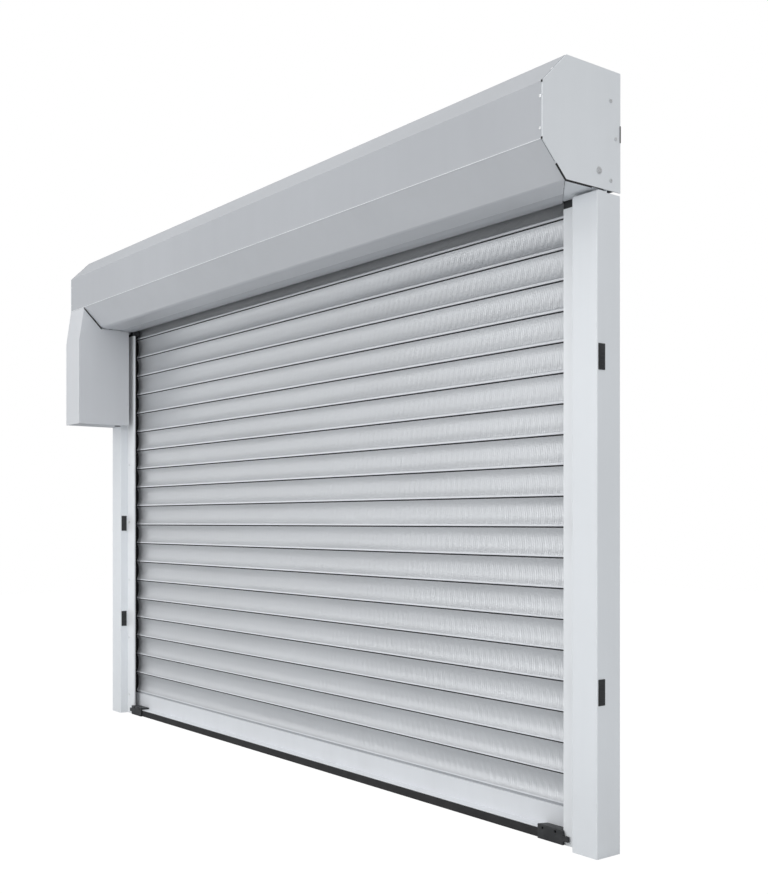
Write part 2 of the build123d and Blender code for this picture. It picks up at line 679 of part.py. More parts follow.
with BuildPart() as bar_profile:
    with BuildSketch(section_at(-BAR_END)):
        with BuildLine():
            Polyline(
                (BAR_BACK, BAR_FACE_HIGH),
                (BAR_BACK, BAR_FACE_LOW),
                (BAR_FRONT, BAR_FACE_LOW),
                (BAR_FRONT, BAR_FACE_HIGH),
                (TONGUE_CENTRE - TONGUE_THICK / 2, BAR_FACE_HIGH),
            )
            tongue_lines(BAR_FACE_HIGH, FIRST_SLAT + BEAD_RISE)
            Line((TONGUE_CENTRE + TONGUE_THICK / 2, BAR_FACE_HIGH), (BAR_BACK, BAR_FACE_HIGH))
        make_face()
        chamber_low = HEAD_HIGH + 2 * BAR_WALL
        with Locations((seal_middle, (chamber_low + BAR_FACE_HIGH - BAR_WALL) / 2)):
            Rectangle(
                BAR_BACK - BAR_FRONT - 2 * BAR_WALL,
                BAR_FACE_HIGH - BAR_WALL - chamber_low,
                mode=Mode.SUBTRACT,
            )
        with Locations((seal_middle, (HEAD_LOW + HEAD_HIGH) / 2)):
            Rectangle(2 * (HEAD_HALF + SEAL_FIT), HEAD_HIGH - HEAD_LOW + 2 * SEAL_FIT, mode=Mode.SUBTRACT)
        with Locations((seal_middle, (BAR_FACE_LOW - 1 + HEAD_LOW) / 2)):
            Rectangle(2 * (STEM_HALF + SEAL_FIT), HEAD_LOW - BAR_FACE_LOW + 1, mode=Mode.SUBTRACT)
    extrude(amount=2 * BAR_END)
    block_cut(
        (-foot_half, BAR_FRONT - 1, BAR_FACE_LOW - 1),
        (foot_half, BAR_FRONT + LEDGE_BITE, BAR_FACE_LOW + FOOT_WALL),
    )
    with Locations([(side * x, BAR_FRONT, STOP_SCREW_Z) for x in stop_screws for side in (-1, 1)]):
        Cylinder(
            STOP_SCREW_SHANK + SCREW_FIT,
            2 * (STOP_SCREW_BITE + SCREW_FIT),
            rotation=(90, 0, 0),
            mode=Mode.SUBTRACT,
        )
    for side in (-1, 1):
        inner, outer = sorted((side * (SLAT_HALF - 1), side * (BAR_END + 1)))
        block_cut(
            (inner, BAR_FRONT - 1, BAR_FACE_HIGH),
            (outer, BAR_BACK + 1, FIRST_SLAT + PITCH / 2),
        )
bar_profile.part.label = "bar_profile"

with BuildPart() as bar_ledge:
    block(
        (-foot_half, FOOT_FRONT, BAR_FACE_LOW),
        (foot_half, BAR_FRONT + LEDGE_BITE, BAR_FACE_LOW + FOOT_WALL),
    )
bar_ledge.part.label = "bar_ledge"

bottom_bar = Compound(label="bottom_bar", children=[bar_profile.part, bar_ledge.part])
export_step(bottom_bar, "parts/bottom_bar.step")

with BuildPart() as end_stops:
    with BuildSketch(section_at(stop_left)):
        with BuildLine():
            Polyline(
                (BAR_FRONT, STOP_FOOT),
                (STOP_FRONT, STOP_FOOT),
                (STOP_FRONT, stop_high),
                (BAR_FRONT, stop_high - STOP_FALL),
                close=True,
            )
        make_face()
    extrude(amount=stop_step - stop_left)
    block((stop_step, STOP_FRONT, STOP_FOOT), (stop_right, stop_back, stop_high - STOP_FALL / 4))
    block((stop_right, STOP_FRONT, STOP_TAB_LOW), (stop_right + STOP_TAB, stop_back, STOP_TAB_HIGH))
    chamfer(end_stops.edges().filter_by(Axis.X).group_by(Axis.Z)[-1], STOP_EDGE)
    with Locations([(x, (STOP_FRONT + stop_seat) / 2, STOP_SCREW_Z) for x in stop_screws]):
        Cylinder(STOP_SCREW_HEAD + CLEAR, STOP_SCREW_SINK, rotation=(90, 0, 0), mode=Mode.SUBTRACT)
    with Locations([(x, stop_seat, STOP_SCREW_Z) for x in stop_screws]):
        Cylinder(STOP_SCREW_SHANK + CLEAR, 4 * STOP_SCREW_SINK, rotation=(90, 0, 0), mode=Mode.SUBTRACT)
    mirror(about=Plane.YZ)
end_stops.part.label = "end_stops"
export_step(end_stops.part, "parts/end_stops.step")

with BuildPart() as end_stop_screws:
    with Locations([(x, stop_seat - SCREW_HEAD_THICK / 2, STOP_SCREW_Z) for x in stop_screws]):
        Cylinder(STOP_SCREW_HEAD, SCREW_HEAD_THICK, rotation=(90, 0, 0))
    with Locations([(x, (stop_seat + stop_screw_end) / 2, STOP_SCREW_Z) for x in stop_screws]):
        Cylinder(STOP_SCREW_SHANK, stop_screw_end - stop_seat, rotation=(90, 0, 0))
    mirror(about=Plane.YZ)
end_stop_screws.part.label = "end_stop_screws"
export_step(end_stop_screws.part, "parts/end_stop_screws.step")

# Housing: folded sheets between two end plates, with the curtain's inlet at the back

chamfer_foot = (CHAMFER_SIZE - BOX_DEPTH, BOX_BOTTOM)
front_low = (-BOX_DEPTH, BOX_BOTTOM + CHAMFER_SIZE)
front_high = (-BOX_DEPTH, BOX_TOP - CHAMFER_SIZE)
chamfer_head = (CHAMFER_SIZE - BOX_DEPTH, BOX_TOP)
INLET_FRONT = INLET_BACK - INLET_DEPTH
PANEL_TUCK = 14.0
RIVET_X = TUBE_OUTER - 8.0
RIVET_SHANK = 1.6
RIVET_HEAD = 3.4
RIVET_HEIGHT = 1.3
RIVET_DROP = 33.0
RIVET_RISE = 25.0
RIVET_GRIP = 3.4  # shank length in sheet thicknesses
rivet_points = [
    (-BOX_DEPTH, front_high[1] - RIVET_DROP, 90),
    (-BOX_DEPTH, front_low[1] + RIVET_RISE, 90),
    ((front_high[0] + chamfer_head[0]) / 2, (front_high[1] + chamfer_head[1]) / 2, 45),
]


def rivet_cylinders(radius, length, centre, mode):
    """A cylinder at every rivet of the right end, its middle this far outside the sheet."""
    for y, z, lean in rivet_points:
        tilt = math.radians(lean)
        place = (RIVET_X, y - math.sin(tilt) * centre, z + math.cos(tilt) * centre)
        with Locations(Location(place, (lean, 0, 0))):
            Cylinder(radius, length, mode=mode)


with BuildPart() as box_fascia:
    with BuildSketch(section_at(0)):
        with BuildLine():
            Polyline(
                *sheet_outline(
                    [front_low, front_high, chamfer_head, (0, BOX_TOP)],
                    SHEET,
                ),
                close=True,
            )
        make_face()
    extrude(amount=PLATE_INNER - END_GAP)
    rivet_cylinders(RIVET_SHANK + SCREW_FIT, 4 * SHEET, 0, Mode.SUBTRACT)
    mirror(about=Plane.YZ)
box_fascia.part.label = "box_fascia"
export_step(box_fascia.part, "parts/box_fascia.step")

SHEET_FIT = 0.2
panel_face = -BOX_DEPTH + SHEET + SHEET_FIT
PANEL_SIDE_FIT = 1.0
panel_left = COVER_INNER + PANEL_SIDE_FIT
panel_bend = BOX_BOTTOM + CHAMFER_SIZE - (panel_face + BOX_DEPTH)

with BuildPart() as inspection_panel:
    with BuildSketch(section_at(panel_left)):
        with BuildLine():
            Polyline(
                *sheet_outline(
                    [
                        (INLET_FRONT, BOX_BOTTOM),
                        chamfer_foot,
                        (panel_face, panel_bend),
                        (panel_face, panel_bend + PANEL_TUCK),
                    ],
                    SHEET,
                ),
                close=True,
            )
        make_face()
    extrude(amount=PLATE_INNER - SHEET_FIT - panel_left)
    with BuildSketch(Plane.XY.offset(BOX_BOTTOM - SHEET)):
        with BuildLine():
            Polyline(
                (MITRE_SUM - INLET_FRONT, INLET_FRONT),
                (PLATE_INNER, INLET_FRONT),
                (PLATE_INNER, MITRE_SUM - PLATE_INNER),
                close=True,
            )
        make_face()
    extrude(amount=3 * SHEET, mode=Mode.SUBTRACT)
    block_cut(
        (PLATE_INNER - END_FLANGE - PANEL_SIDE_FIT, -BOX_DEPTH, panel_bend + CLEAR),
        (TUBE_OUTER, panel_face + 2 * SHEET, panel_bend + 2 * PANEL_TUCK),
    )
inspection_panel.part.label = "inspection_panel"
export_step(inspection_panel.part, "parts/inspection_panel.step")

INLET_TALL = 10.0
INLET_WALL = 1.5
inlet_middle = (INLET_FRONT + INLET_BACK) / 2

with BuildPart() as inlet_rail:
    with BuildSketch(section_at(-NOTCH_EDGE)):
        with BuildLine():
            ThreePointArc(
                (INLET_FRONT, BOX_BOTTOM),
                (inlet_middle, BOX_BOTTOM - INLET_BULGE),
                (INLET_BACK, BOX_BOTTOM),
            )
            Polyline(
                (INLET_BACK, BOX_BOTTOM),
                (INLET_BACK, BOX_BOTTOM + INLET_TALL),
                (INLET_FRONT, BOX_BOTTOM + INLET_TALL),
                (INLET_FRONT, BOX_BOTTOM),
            )
        make_face()
        with Locations((inlet_middle, BOX_BOTTOM + INLET_TALL / 2)):
            Rectangle(INLET_DEPTH - 2 * INLET_WALL, INLET_TALL - 2 * INLET_WALL, mode=Mode.SUBTRACT)
    extrude(amount=NOTCH_EDGE + MITRE_SUM - INLET_FRONT)
    with BuildSketch(Plane.XY.offset(BOX_BOTTOM - 2 * INLET_BULGE)):
        with BuildLine():
            Polyline(
                (MITRE_SUM - INLET_FRONT, INLET_FRONT),
                (MITRE_SUM - INLET_FRONT, INLET_BACK),
                (NOTCH_EDGE, INLET_BACK),
                (NOTCH_EDGE, MITRE_SUM - NOTCH_EDGE),
                close=True,
            )
        make_face()
    extrude(amount=4 * INLET_BULGE, mode=Mode.SUBTRACT)
inlet_rail.part.label = "inlet_rail"
export_step(inlet_rail.part, "parts/inlet_rail.step")

WALL_LEG = 52.0
WALL_LEG_THICK = 3.0
BACK_FOLD = 20.0
back_half = PLATE_INNER - WALL_LEG

with BuildPart() as box_back_plate:
    with BuildSketch(section_at(-back_half)):
        with BuildLine():
            Polyline(
                *sheet_outline(
                    [
                        (-BACK_FOLD, BOX_TOP - SHEET),
                        (0, BOX_TOP - SHEET),
                        (0, BOX_BOTTOM + WALL_LEG_THICK),
                    ],
                    SHEET,
                ),
                close=True,
            )
        make_face()
    extrude(amount=2 * back_half)
box_back_plate.part.label = "box_back_plate"
export_step(box_back_plate.part, "parts/box_back_plate.step")

# End plates: trays whose flange lies inside the fascia, with their screws and edge trims

FLANGE_REACH = 8.0  # of the flange along the underside
PLATE_SCREW_SHANK = 2.4
PLATE_SCREW_HEAD = 4.5
PLATE_SCREW_RISE = 2.2
PLATE_SCREW_LENGTH = 8.0
WASHER_RADIUS = 9.0
WASHER_THICK = 1.5
BEARING_SCREW = 31.0
BEARING_SCREW_SHANK = 3.0
BEARING_SCREW_BITE = 2.0  # into the end plate, which hides its end
LEG_FROM_BRACKET = 5.0
LEG_DEPTH = -HEAD_FRONT - LEG_FROM_BRACKET
LEG_SCREW_INSET = 8.0
REAR_SCREW_INSET = 18.0
TOP_SCREW_DROP = 73.0
REAR_SCREW_DROP = 160.0
LOW_SCREW_RISE = 24.0
leg_screw_y = LEG_SCREW_INSET - LEG_DEPTH
plate_screws = [
    (leg_screw_y, BOX_TOP - TOP_SCREW_DROP),
    (-REAR_SCREW_INSET, BOX_TOP - REAR_SCREW_DROP),
    (leg_screw_y, BOX_BOTTOM + LOW_SCREW_RISE),
]
plate_bolt = (EAR_BOLT_Y, BOX_BOTTOM + EAR_BOLT_RISE)
bearing_screws = [
    (BARREL_Y + i * BEARING_SCREW, BARREL_Z + k * BEARING_SCREW) for i in (-1, 1) for k in (-1, 1)
]
box_path = [
    (chamfer_foot[0] + FLANGE_REACH, BOX_BOTTOM),
    chamfer_foot,
    front_low,
    front_high,
    chamfer_head,
    (0, BOX_TOP),
]

with BuildPart() as right_end_plate:
    with BuildSketch(section_at(PLATE_INNER)):
        with BuildLine():
            Polyline((0, BOX_BOTTOM), *box_path[1:], close=True)
        make_face()
        with Locations(plate_screws):
            Circle(PLATE_SCREW_SHANK + SHEET_FIT, mode=Mode.SUBTRACT)
        with Locations(plate_bolt):
            Circle(EAR_BOLT_RADIUS + SHEET_FIT, mode=Mode.SUBTRACT)
    extrude(amount=END_PLATE)
    with BuildSketch(section_at(PLATE_INNER)):
        with Locations(bearing_screws):
            Circle(BEARING_SCREW_SHANK + SCREW_FIT)
    extrude(amount=BEARING_SCREW_BITE + SCREW_FIT, mode=Mode.SUBTRACT)
    with BuildSketch(section_at(PLATE_INNER)):
        with BuildLine():
            Polyline(*sheet_outline(inset(box_path, SHEET + SCREW_FIT), END_FLANGE_WALL), close=True)
        make_face()
    extrude(amount=-END_FLANGE)
    rivet_cylinders(RIVET_SHANK + SCREW_FIT, 6 * SHEET, 0, Mode.SUBTRACT)
right_end_plate.part.label = "right_end_plate"
export_step(right_end_plate.part, "parts/right_end_plate.step")

with BuildPart() as left_end_plate:
    mirror(right_end_plate.part, about=Plane.YZ)
left_end_plate.part.label = "left_end_plate"
export_step(left_end_plate.part, "parts/left_end_plate.step")

TRIM_THICK = 4.0
TRIM_TAIL_THICK = 1.6
TRIM_BACK = -60.0
TRIM_STEP = -100.0
TRIM_SHARE = 0.4
CORNER_CAP = 2.5
CORNER_CAP_HEIGHT = 5.0
CORNER_CAP_SHIFT = 1.0
CORNER_CAP_PROUD = 1.0
EDGE_CLIP_LOW = 1700.0
EDGE_CLIP_HIGH = 1740.0
EDGE_CLIP_THICK = 1.5
EDGE_CLIP_DEPTH = 3.0
corner_caps = [
    (-BOX_DEPTH - CORNER_CAP / 2, front_low[1] + CORNER_CAP_SHIFT),
    (-BOX_DEPTH - CORNER_CAP / 2, front_high[1] - CORNER_CAP_SHIFT),
]
trim_start = (
    chamfer_foot[0] + (front_low[0] - chamfer_foot[0]) * TRIM_SHARE,
    chamfer_foot[1] + (front_low[1] - chamfer_foot[1]) * TRIM_SHARE,
)

with BuildPart() as end_plate_trim:
    with BuildSketch(section_at(TUBE_OUTER)):
        with BuildLine():
            Polyline(
                *sheet_outline([(TRIM_STEP, BOX_BOTTOM), chamfer_foot, trim_start], -TRIM_THICK),
                close=True,
            )
        make_face()
    extrude(amount=-END_PLATE)
    block(
        (PLATE_INNER, TRIM_STEP, BOX_BOTTOM - TRIM_TAIL_THICK),
        (TUBE_OUTER, TRIM_BACK, BOX_BOTTOM),
    )
    with BuildSketch(section_at(TUBE_OUTER + CORNER_CAP_PROUD)):
        with Locations(corner_caps):
            Rectangle(CORNER_CAP, CORNER_CAP_HEIGHT)
    extrude(amount=-END_PLATE - CORNER_CAP_PROUD)
    block(
        (TUBE_OUTER, -EDGE_CLIP_DEPTH, EDGE_CLIP_LOW),
        (TUBE_OUTER + EDGE_CLIP_THICK, 0, EDGE_CLIP_HIGH),
    )
end_plate_trim.part.label = "end_plate_trim"
export_step(end_plate_trim.part, "parts/end_plate_trim.step")

with BuildPart() as fascia_rivets:
    rivet_cylinders(RIVET_HEAD, RIVET_HEIGHT, RIVET_HEIGHT / 2, Mode.ADD)
    rivet_cylinders(RIVET_SHANK, RIVET_GRIP * SHEET, -RIVET_GRIP / 2 * SHEET, Mode.ADD)
    mirror(about=Plane.YZ)
fascia_rivets.part.label = "fascia_rivets"
export_step(fascia_rivets.part, "parts/fascia_rivets.step")

LEG_FOOT = 8.0
LEG_HEAD = 10.0
WALL_HOLE_SPAN = 83.0
WALL_HOLE_INSET = 31.0
LEG_LOW = BOX_BOTTOM + LEG_FOOT
LEG_HIGH = BOX_TOP - LEG_HEAD
wall_hole_x = PLATE_INNER - WALL_HOLE_INSET
wall_holes = [(wall_hole_x, 0, BARREL_Z - WALL_HOLE_SPAN), (wall_hole_x, 0, BARREL_Z + WALL_HOLE_SPAN)]

with BuildPart() as box_wall_brackets:
    block((PLATE_INNER - WALL_LEG_THICK, -LEG_DEPTH, LEG_LOW), (PLATE_INNER, 0, LEG_HIGH))
    block((PLATE_INNER - WALL_LEG, -WALL_LEG_THICK, LEG_LOW), (PLATE_INNER, 0, LEG_HIGH))
    with Locations([(PLATE_INNER, y, z) for y, z in plate_screws]):
        Cylinder(PLATE_SCREW_SHANK + SHEET_FIT, 4 * WALL_LEG_THICK, rotation=(0, 90, 0), mode=Mode.SUBTRACT)
    with Locations(wall_holes):
        Cylinder(WALL_HOLE_RADIUS, 4 * WALL_LEG_THICK, rotation=(90, 0, 0), mode=Mode.SUBTRACT)
    mirror(about=Plane.YZ)
box_wall_brackets.part.label = "box_wall_brackets"
export_step(box_wall_brackets.part, "parts/box_wall_brackets.step")

with BuildPart() as end_plate_screws:
    with BuildSketch(section_at(TUBE_OUTER)):
        with Locations(plate_screws):
            Circle(PLATE_SCREW_HEAD)
    extrude(amount=PLATE_SCREW_RISE)
    with BuildSketch(section_at(TUBE_OUTER)):
        with Locations(plate_screws):
            Circle(PLATE_SCREW_SHANK)
    extrude(amount=-PLATE_SCREW_LENGTH)
    with BuildSketch(section_at(TUBE_OUTER)):
        with Locations(plate_bolt):
            Circle(WASHER_RADIUS)
    extrude(amount=WASHER_THICK)
    with BuildSketch(section_at(TUBE_OUTER)):
        with Locations(plate_bolt):
            Circle(EAR_BOLT_RADIUS)
    extrude(amount=-PLATE_SCREW_LENGTH)
    with BuildSketch(section_at(TUBE_OUTER + WASHER_THICK)):
        with Locations(plate_bolt):
            RegularPolygon(EAR_HEX_RADIUS, 6)
    extrude(amount=PLATE_SCREW_RISE)
    with BuildSketch(section_at(PLATE_INNER - BEARING_PLATE)):
        with Locations(bearing_screws):
            Circle(2 * BEARING_SCREW_SHANK)
    extrude(amount=-BEARING_SCREW_SHANK)
    with BuildSketch(section_at(PLATE_INNER - BEARING_PLATE)):
        with Locations(bearing_screws):
            Circle(BEARING_SCREW_SHANK)
    extrude(amount=BEARING_PLATE + BEARING_SCREW_BITE)
    mirror(about=Plane.YZ)
end_plate_screws.part.label = "end_plate_screws"
export_step(end_plate_screws.part, "parts/end_plate_screws.step")

# Barrel: octagonal tube on two stub shafts, with spring-steel hangers for the curtain

barrel_flat_top = BARREL_Z + BARREL_FLATS / 2
SHAFT_END_GAP = 3.0
BARREL_FIT = 0.1
shaft_end = PLATE_INNER - SHAFT_END_GAP
hanger_screws_at = [(x, BARREL_Y, barrel_flat_top) for x in HANGER_STATIONS]
HANGER_SCREW_SHANK = 2.5
HANGER_SCREW_HEAD = 4.5
HANGER_SCREW_RISE = 3.0

with BuildPart() as barrel_tube:
    with BuildSketch(section_at(-BARREL_HALF)):
        with Locations((BARREL_Y, BARREL_Z)):
            RegularPolygon(BARREL_FLATS / 2, 8, major_radius=False, rotation=22.5)
            RegularPolygon(
                BARREL_FLATS / 2 - BARREL_WALL, 8, major_radius=False, rotation=22.5, mode=Mode.SUBTRACT
            )
    extrude(amount=2 * BARREL_HALF)
    with Locations(hanger_screws_at):
        Cylinder(HANGER_SCREW_SHANK + SCREW_FIT, 4 * BARREL_WALL, mode=Mode.SUBTRACT)
barrel_tube.part.label = "barrel_tube"
export_step(barrel_tube.part, "parts/barrel_tube.step")

with BuildPart() as idler_end_plug:
    with BuildSketch(section_at(BARREL_HALF - PLUG_INSERT)):
        with Locations((BARREL_Y, BARREL_Z)):
            RegularPolygon(
                BARREL_FLATS / 2 - BARREL_WALL - BARREL_FIT, 8, major_radius=False, rotation=22.5
            )
    extrude(amount=PLUG_INSERT)
    with BuildSketch(section_at(BARREL_HALF)):
        with Locations((BARREL_Y, BARREL_Z)):
            RegularPolygon(BARREL_FLATS / 2, 8, major_radius=False, rotation=22.5)
    extrude(amount=PLUG_FLANGE)
    with BuildSketch(section_at(BARREL_HALF + PLUG_FLANGE)):
        with Locations((BARREL_Y, BARREL_Z)):
            Circle(SHAFT_RADIUS)
    extrude(amount=shaft_end - BARREL_HALF - PLUG_FLANGE)
idler_end_plug.part.label = "idler_end_plug"
export_step(idler_end_plug.part, "parts/idler_end_plug.step")

with BuildPart() as drive_end_plug:
    mirror(idler_end_plug.part, about=Plane.YZ)
drive_end_plug.part.label = "drive_end_plug"
export_step(drive_end_plug.part, "parts/drive_end_plug.step")

BEARING_FLANGE = 84.0
BEARING_BOSS = 27.0
BEARING_CORNER = 10.0

with BuildPart() as barrel_bearings:
    with BuildSketch(section_at(PLATE_INNER)):
        with Locations((BARREL_Y, BARREL_Z)):
            RectangleRounded(BEARING_FLANGE, BEARING_FLANGE, BEARING_CORNER)
        with Locations(bearing_screws):
            Circle(BEARING_SCREW_SHANK + SCREW_FIT, mode=Mode.SUBTRACT)
    extrude(amount=-BEARING_PLATE)
    with BuildSketch(section_at(PLATE_INNER)):
        with Locations((BARREL_Y, BARREL_Z)):
            Circle(BEARING_BOSS)
    extrude(amount=-BEARING_DEPTH)
    with BuildSketch(section_at(PLATE_INNER)):
        with Locations((BARREL_Y, BARREL_Z)):
            Circle(SHAFT_RADIUS + SHAFT_CLEARANCE)
    extrude(amount=-BEARING_DEPTH, mode=Mode.SUBTRACT)
    mirror(about=Plane.YZ)
barrel_bearings.part.label = "barrel_bearings"
export_step(barrel_bearings.part, "parts/barrel_bearings.step")

top_slat = FIRST_SLAT + PITCH * (SLAT_COUNT - 1)
hanger_bead = top_slat + bead_z
CLIP_WALL = 1.2
CLIP_FOOT_GAP = 1.0
CLIP_HEAD_GAP = 2.5
CLIP_SIDE_GAP = 0.4
STRAP_PAST_SCREW = 14.0
CLIP_LOW = BEAD_RISE - CLIP_FOOT_GAP
CLIP_HIGH = BEAD_RADIUS + CLIP_HEAD_GAP
CLIP_SPACE = BEAD_RADIUS + CLIP_SIDE_GAP
strap_back = TONGUE_CENTRE + CLIP_SPACE + CLIP_WALL
strap_top = barrel_flat_top + HANGER_THICK
strap_radius = HANGER_BEND
strap_path = [
    (strap_back, hanger_bead),
    (strap_back, strap_top - strap_radius),
    (strap_back - strap_radius, strap_top),
    (BARREL_Y - STRAP_PAST_SCREW, strap_top),
]

with BuildPart() as curtain_hangers:
    for station in HANGER_STATIONS:
        with BuildSketch(section_at(station - HANGER_WIDTH / 2)):
            inner = strap_radius - HANGER_THICK
            centre = (strap_back - strap_radius, strap_top - strap_radius)
            turn = math.sqrt(0.5)
            with BuildLine():
                Line(strap_path[0], strap_path[1])
                ThreePointArc(
                    strap_path[1],
                    (centre[0] + strap_radius * turn, centre[1] + strap_radius * turn),
                    strap_path[2],
                )
                Polyline(
                    strap_path[2],
                    strap_path[3],
                    (strap_path[3][0], strap_top - HANGER_THICK),
                    (centre[0], strap_top - HANGER_THICK),
                )
                ThreePointArc(
                    (centre[0], strap_top - HANGER_THICK),
                    (centre[0] + inner * turn, centre[1] + inner * turn),
                    (strap_back - HANGER_THICK, centre[1]),
                )
                Polyline(
                    (strap_back - HANGER_THICK, centre[1]),
                    (strap_back - HANGER_THICK, hanger_bead),
                    strap_path[0],
                )
            make_face()
        extrude(amount=HANGER_WIDTH)
        with BuildSketch(section_at(station - HANGER_WIDTH / 2)):
            clip_low = hanger_bead - CLIP_LOW
            with Locations((TONGUE_CENTRE, hanger_bead + (CLIP_HIGH - CLIP_LOW) / 2)):
                Rectangle(2 * (CLIP_SPACE + CLIP_WALL), CLIP_HIGH + CLIP_LOW)
            with Locations((TONGUE_CENTRE, hanger_bead + (CLIP_HIGH - CLIP_LOW) / 2)):
                Rectangle(2 * CLIP_SPACE, CLIP_HIGH + CLIP_LOW - 2 * CLIP_WALL, mode=Mode.SUBTRACT)
            with Locations((TONGUE_CENTRE, clip_low)):
                Rectangle(2 * MOUTH_HALF, 3 * CLIP_WALL, mode=Mode.SUBTRACT)
        extrude(amount=HANGER_WIDTH)
    with Locations(hanger_screws_at):
        Cylinder(HANGER_SCREW_SHANK + SCREW_FIT, 6 * HANGER_THICK, mode=Mode.SUBTRACT)
curtain_hangers.part.label = "curtain_hangers"
export_step(curtain_hangers.part, "parts/curtain_hangers.step")

with BuildPart() as hanger_screws:
    with BuildSketch(Plane.XY.offset(strap_top)):
        with Locations([(x, y) for x, y, z in hanger_screws_at]):
            Circle(HANGER_SCREW_HEAD)
    extrude(amount=HANGER_SCREW_RISE)
    with BuildSketch(Plane.XY.offset(strap_top)):
        with Locations([(x, y) for x, y, z in hanger_screws_at]):
            Circle(HANGER_SCREW_SHANK)
    extrude(amount=-4 * HANGER_SCREW_RISE)
hanger_screws.part.label = "hanger_screws"
export_step(hanger_screws.part, "parts/hanger_screws.step")

# Chain drive: two equal sprockets, so their rollers stand square to the line of centres

pitch_radius = CHAIN_PITCH / (2 * math.sin(math.pi / TEETH))
chain_run = CHAIN_PITCH * CHAIN_RUN_LINKS
operator_y = BARREL_Y - CHAIN_LEAN
operator_z = BARREL_Z - math.sqrt(chain_run**2 - CHAIN_LEAN**2)
run_angle = math.degrees(math.atan2(operator_z - BARREL_Z, operator_y - BARREL_Y))
sprocket_x = -(PLATE_INNER - SPROCKET_FROM_PLATE)
TOOTH_TIP = 3.6
TOOTH_ROOT = 0.2
TOOTH_FLARE = 0.9
SEAT_GAP = 0.35
ROLLER_SPAN = 4.2
LINK_PLATE = 1.2
LINK_HEIGHT = 9.5
PIN_RADIUS = 1.9
LINK_GAP = 0.2
PIN_FIT = 0.1
HUB_FIT = 0.02
OUTER_SPAN = ROLLER_SPAN + LINK_PLATE + LINK_GAP
HUB_RADIUS = 22.0
HUB_LENGTH = 17.0
OPERATOR_SHAFT = 10.0


def sprocket_teeth(y, z):
    """Toothed disc about one centre, in the open sketch."""
    with Locations((y, z)):
        Circle(pitch_radius + TOOTH_TIP)
    with Locations((y, z)):
        with PolarLocations(pitch_radius, TEETH, start_angle=run_angle + 90):
            Circle(ROLLER_RADIUS + SEAT_GAP, mode=Mode.SUBTRACT)
        with PolarLocations(pitch_radius + TOOTH_ROOT + 2 * TOOTH_TIP, TEETH, start_angle=run_angle + 90):
            Rectangle(4 * TOOTH_TIP, 2 * (ROLLER_RADIUS + TOOTH_FLARE), mode=Mode.SUBTRACT)


with BuildPart() as barrel_sprocket:
    with BuildSketch(section_at(sprocket_x - SPROCKET_THICK / 2)):
        sprocket_teeth(BARREL_Y, BARREL_Z)
    extrude(amount=SPROCKET_THICK)
    with BuildSketch(section_at(sprocket_x)):
        with Locations((BARREL_Y, BARREL_Z)):
            Circle(HUB_RADIUS)
    extrude(amount=HUB_LENGTH)
    with BuildSketch(section_at(sprocket_x - SPROCKET_THICK)):
        with Locations((BARREL_Y, BARREL_Z)):
            Circle(SHAFT_RADIUS + HUB_FIT)
    extrude(amount=HUB_LENGTH + 2 * SPROCKET_THICK, mode=Mode.SUBTRACT)
barrel_sprocket.part.label = "barrel_sprocket"
export_step(barrel_sprocket.part, "parts/barrel_sprocket.step")

GEARBOX_WIDTH = 60.0
GEARBOX_SIDE = 90.0
WEB = 4.0
WEB_FROM_SPROCKET = 15.0
web_x = sprocket_x + WEB_FROM_SPROCKET
gearbox_x = web_x + WEB
SHAFT_IN_GEARBOX = 40.0
GEARBOX_SCREW = 32.0
GEARBOX_SCREW_SHANK = 3.0
GEARBOX_CORNER = 8.0
GEARBOX_FLOOR = 2.0  # wall behind the shaft's end
SHAFT_PASS = 4.0
HOLE_FIT = 0.2

with BuildPart() as drive_sprocket:
    with BuildSketch(section_at(sprocket_x - SPROCKET_THICK / 2)):
        sprocket_teeth(operator_y, operator_z)
    extrude(amount=SPROCKET_THICK)
    with BuildSketch(section_at(sprocket_x)):
        with Locations((operator_y, operator_z)):
            Circle(HUB_RADIUS)
    extrude(amount=-HUB_LENGTH)
    with BuildSketch(section_at(sprocket_x)):
        with Locations((operator_y, operator_z)):
            Circle(OPERATOR_SHAFT)
    extrude(amount=gearbox_x + SHAFT_IN_GEARBOX - sprocket_x)
drive_sprocket.part.label = "drive_sprocket"
export_step(drive_sprocket.part, "parts/drive_sprocket.step")

with BuildPart() as outer_link:
    with BuildSketch(section_at(OUTER_SPAN)):
        SlotCenterToCenter(CHAIN_PITCH, LINK_HEIGHT)
    extrude(amount=LINK_PLATE)
    mirror(about=Plane.YZ)
    with BuildSketch(section_at(-OUTER_SPAN - 2 * LINK_PLATE)):
        with Locations((-CHAIN_PITCH / 2, 0), (CHAIN_PITCH / 2, 0)):
            Circle(PIN_RADIUS)
    extrude(amount=2 * OUTER_SPAN + 4 * LINK_PLATE)

with BuildPart() as inner_link:
    with BuildSketch(section_at(ROLLER_SPAN)):
        SlotCenterToCenter(CHAIN_PITCH, LINK_HEIGHT)
    extrude(amount=LINK_PLATE)
    mirror(about=Plane.YZ)
    with BuildSketch(section_at(-ROLLER_SPAN)):
        with Locations((-CHAIN_PITCH / 2, 0), (CHAIN_PITCH / 2, 0)):
            Circle(ROLLER_RADIUS)
    extrude(amount=2 * ROLLER_SPAN)
    with BuildSketch(section_at(-OUTER_SPAN)):
        with Locations((-CHAIN_PITCH / 2, 0), (CHAIN_PITCH / 2, 0)):
            Circle(PIN_RADIUS + PIN_FIT)
    extrude(amount=2 * OUTER_SPAN, mode=Mode.SUBTRACT)


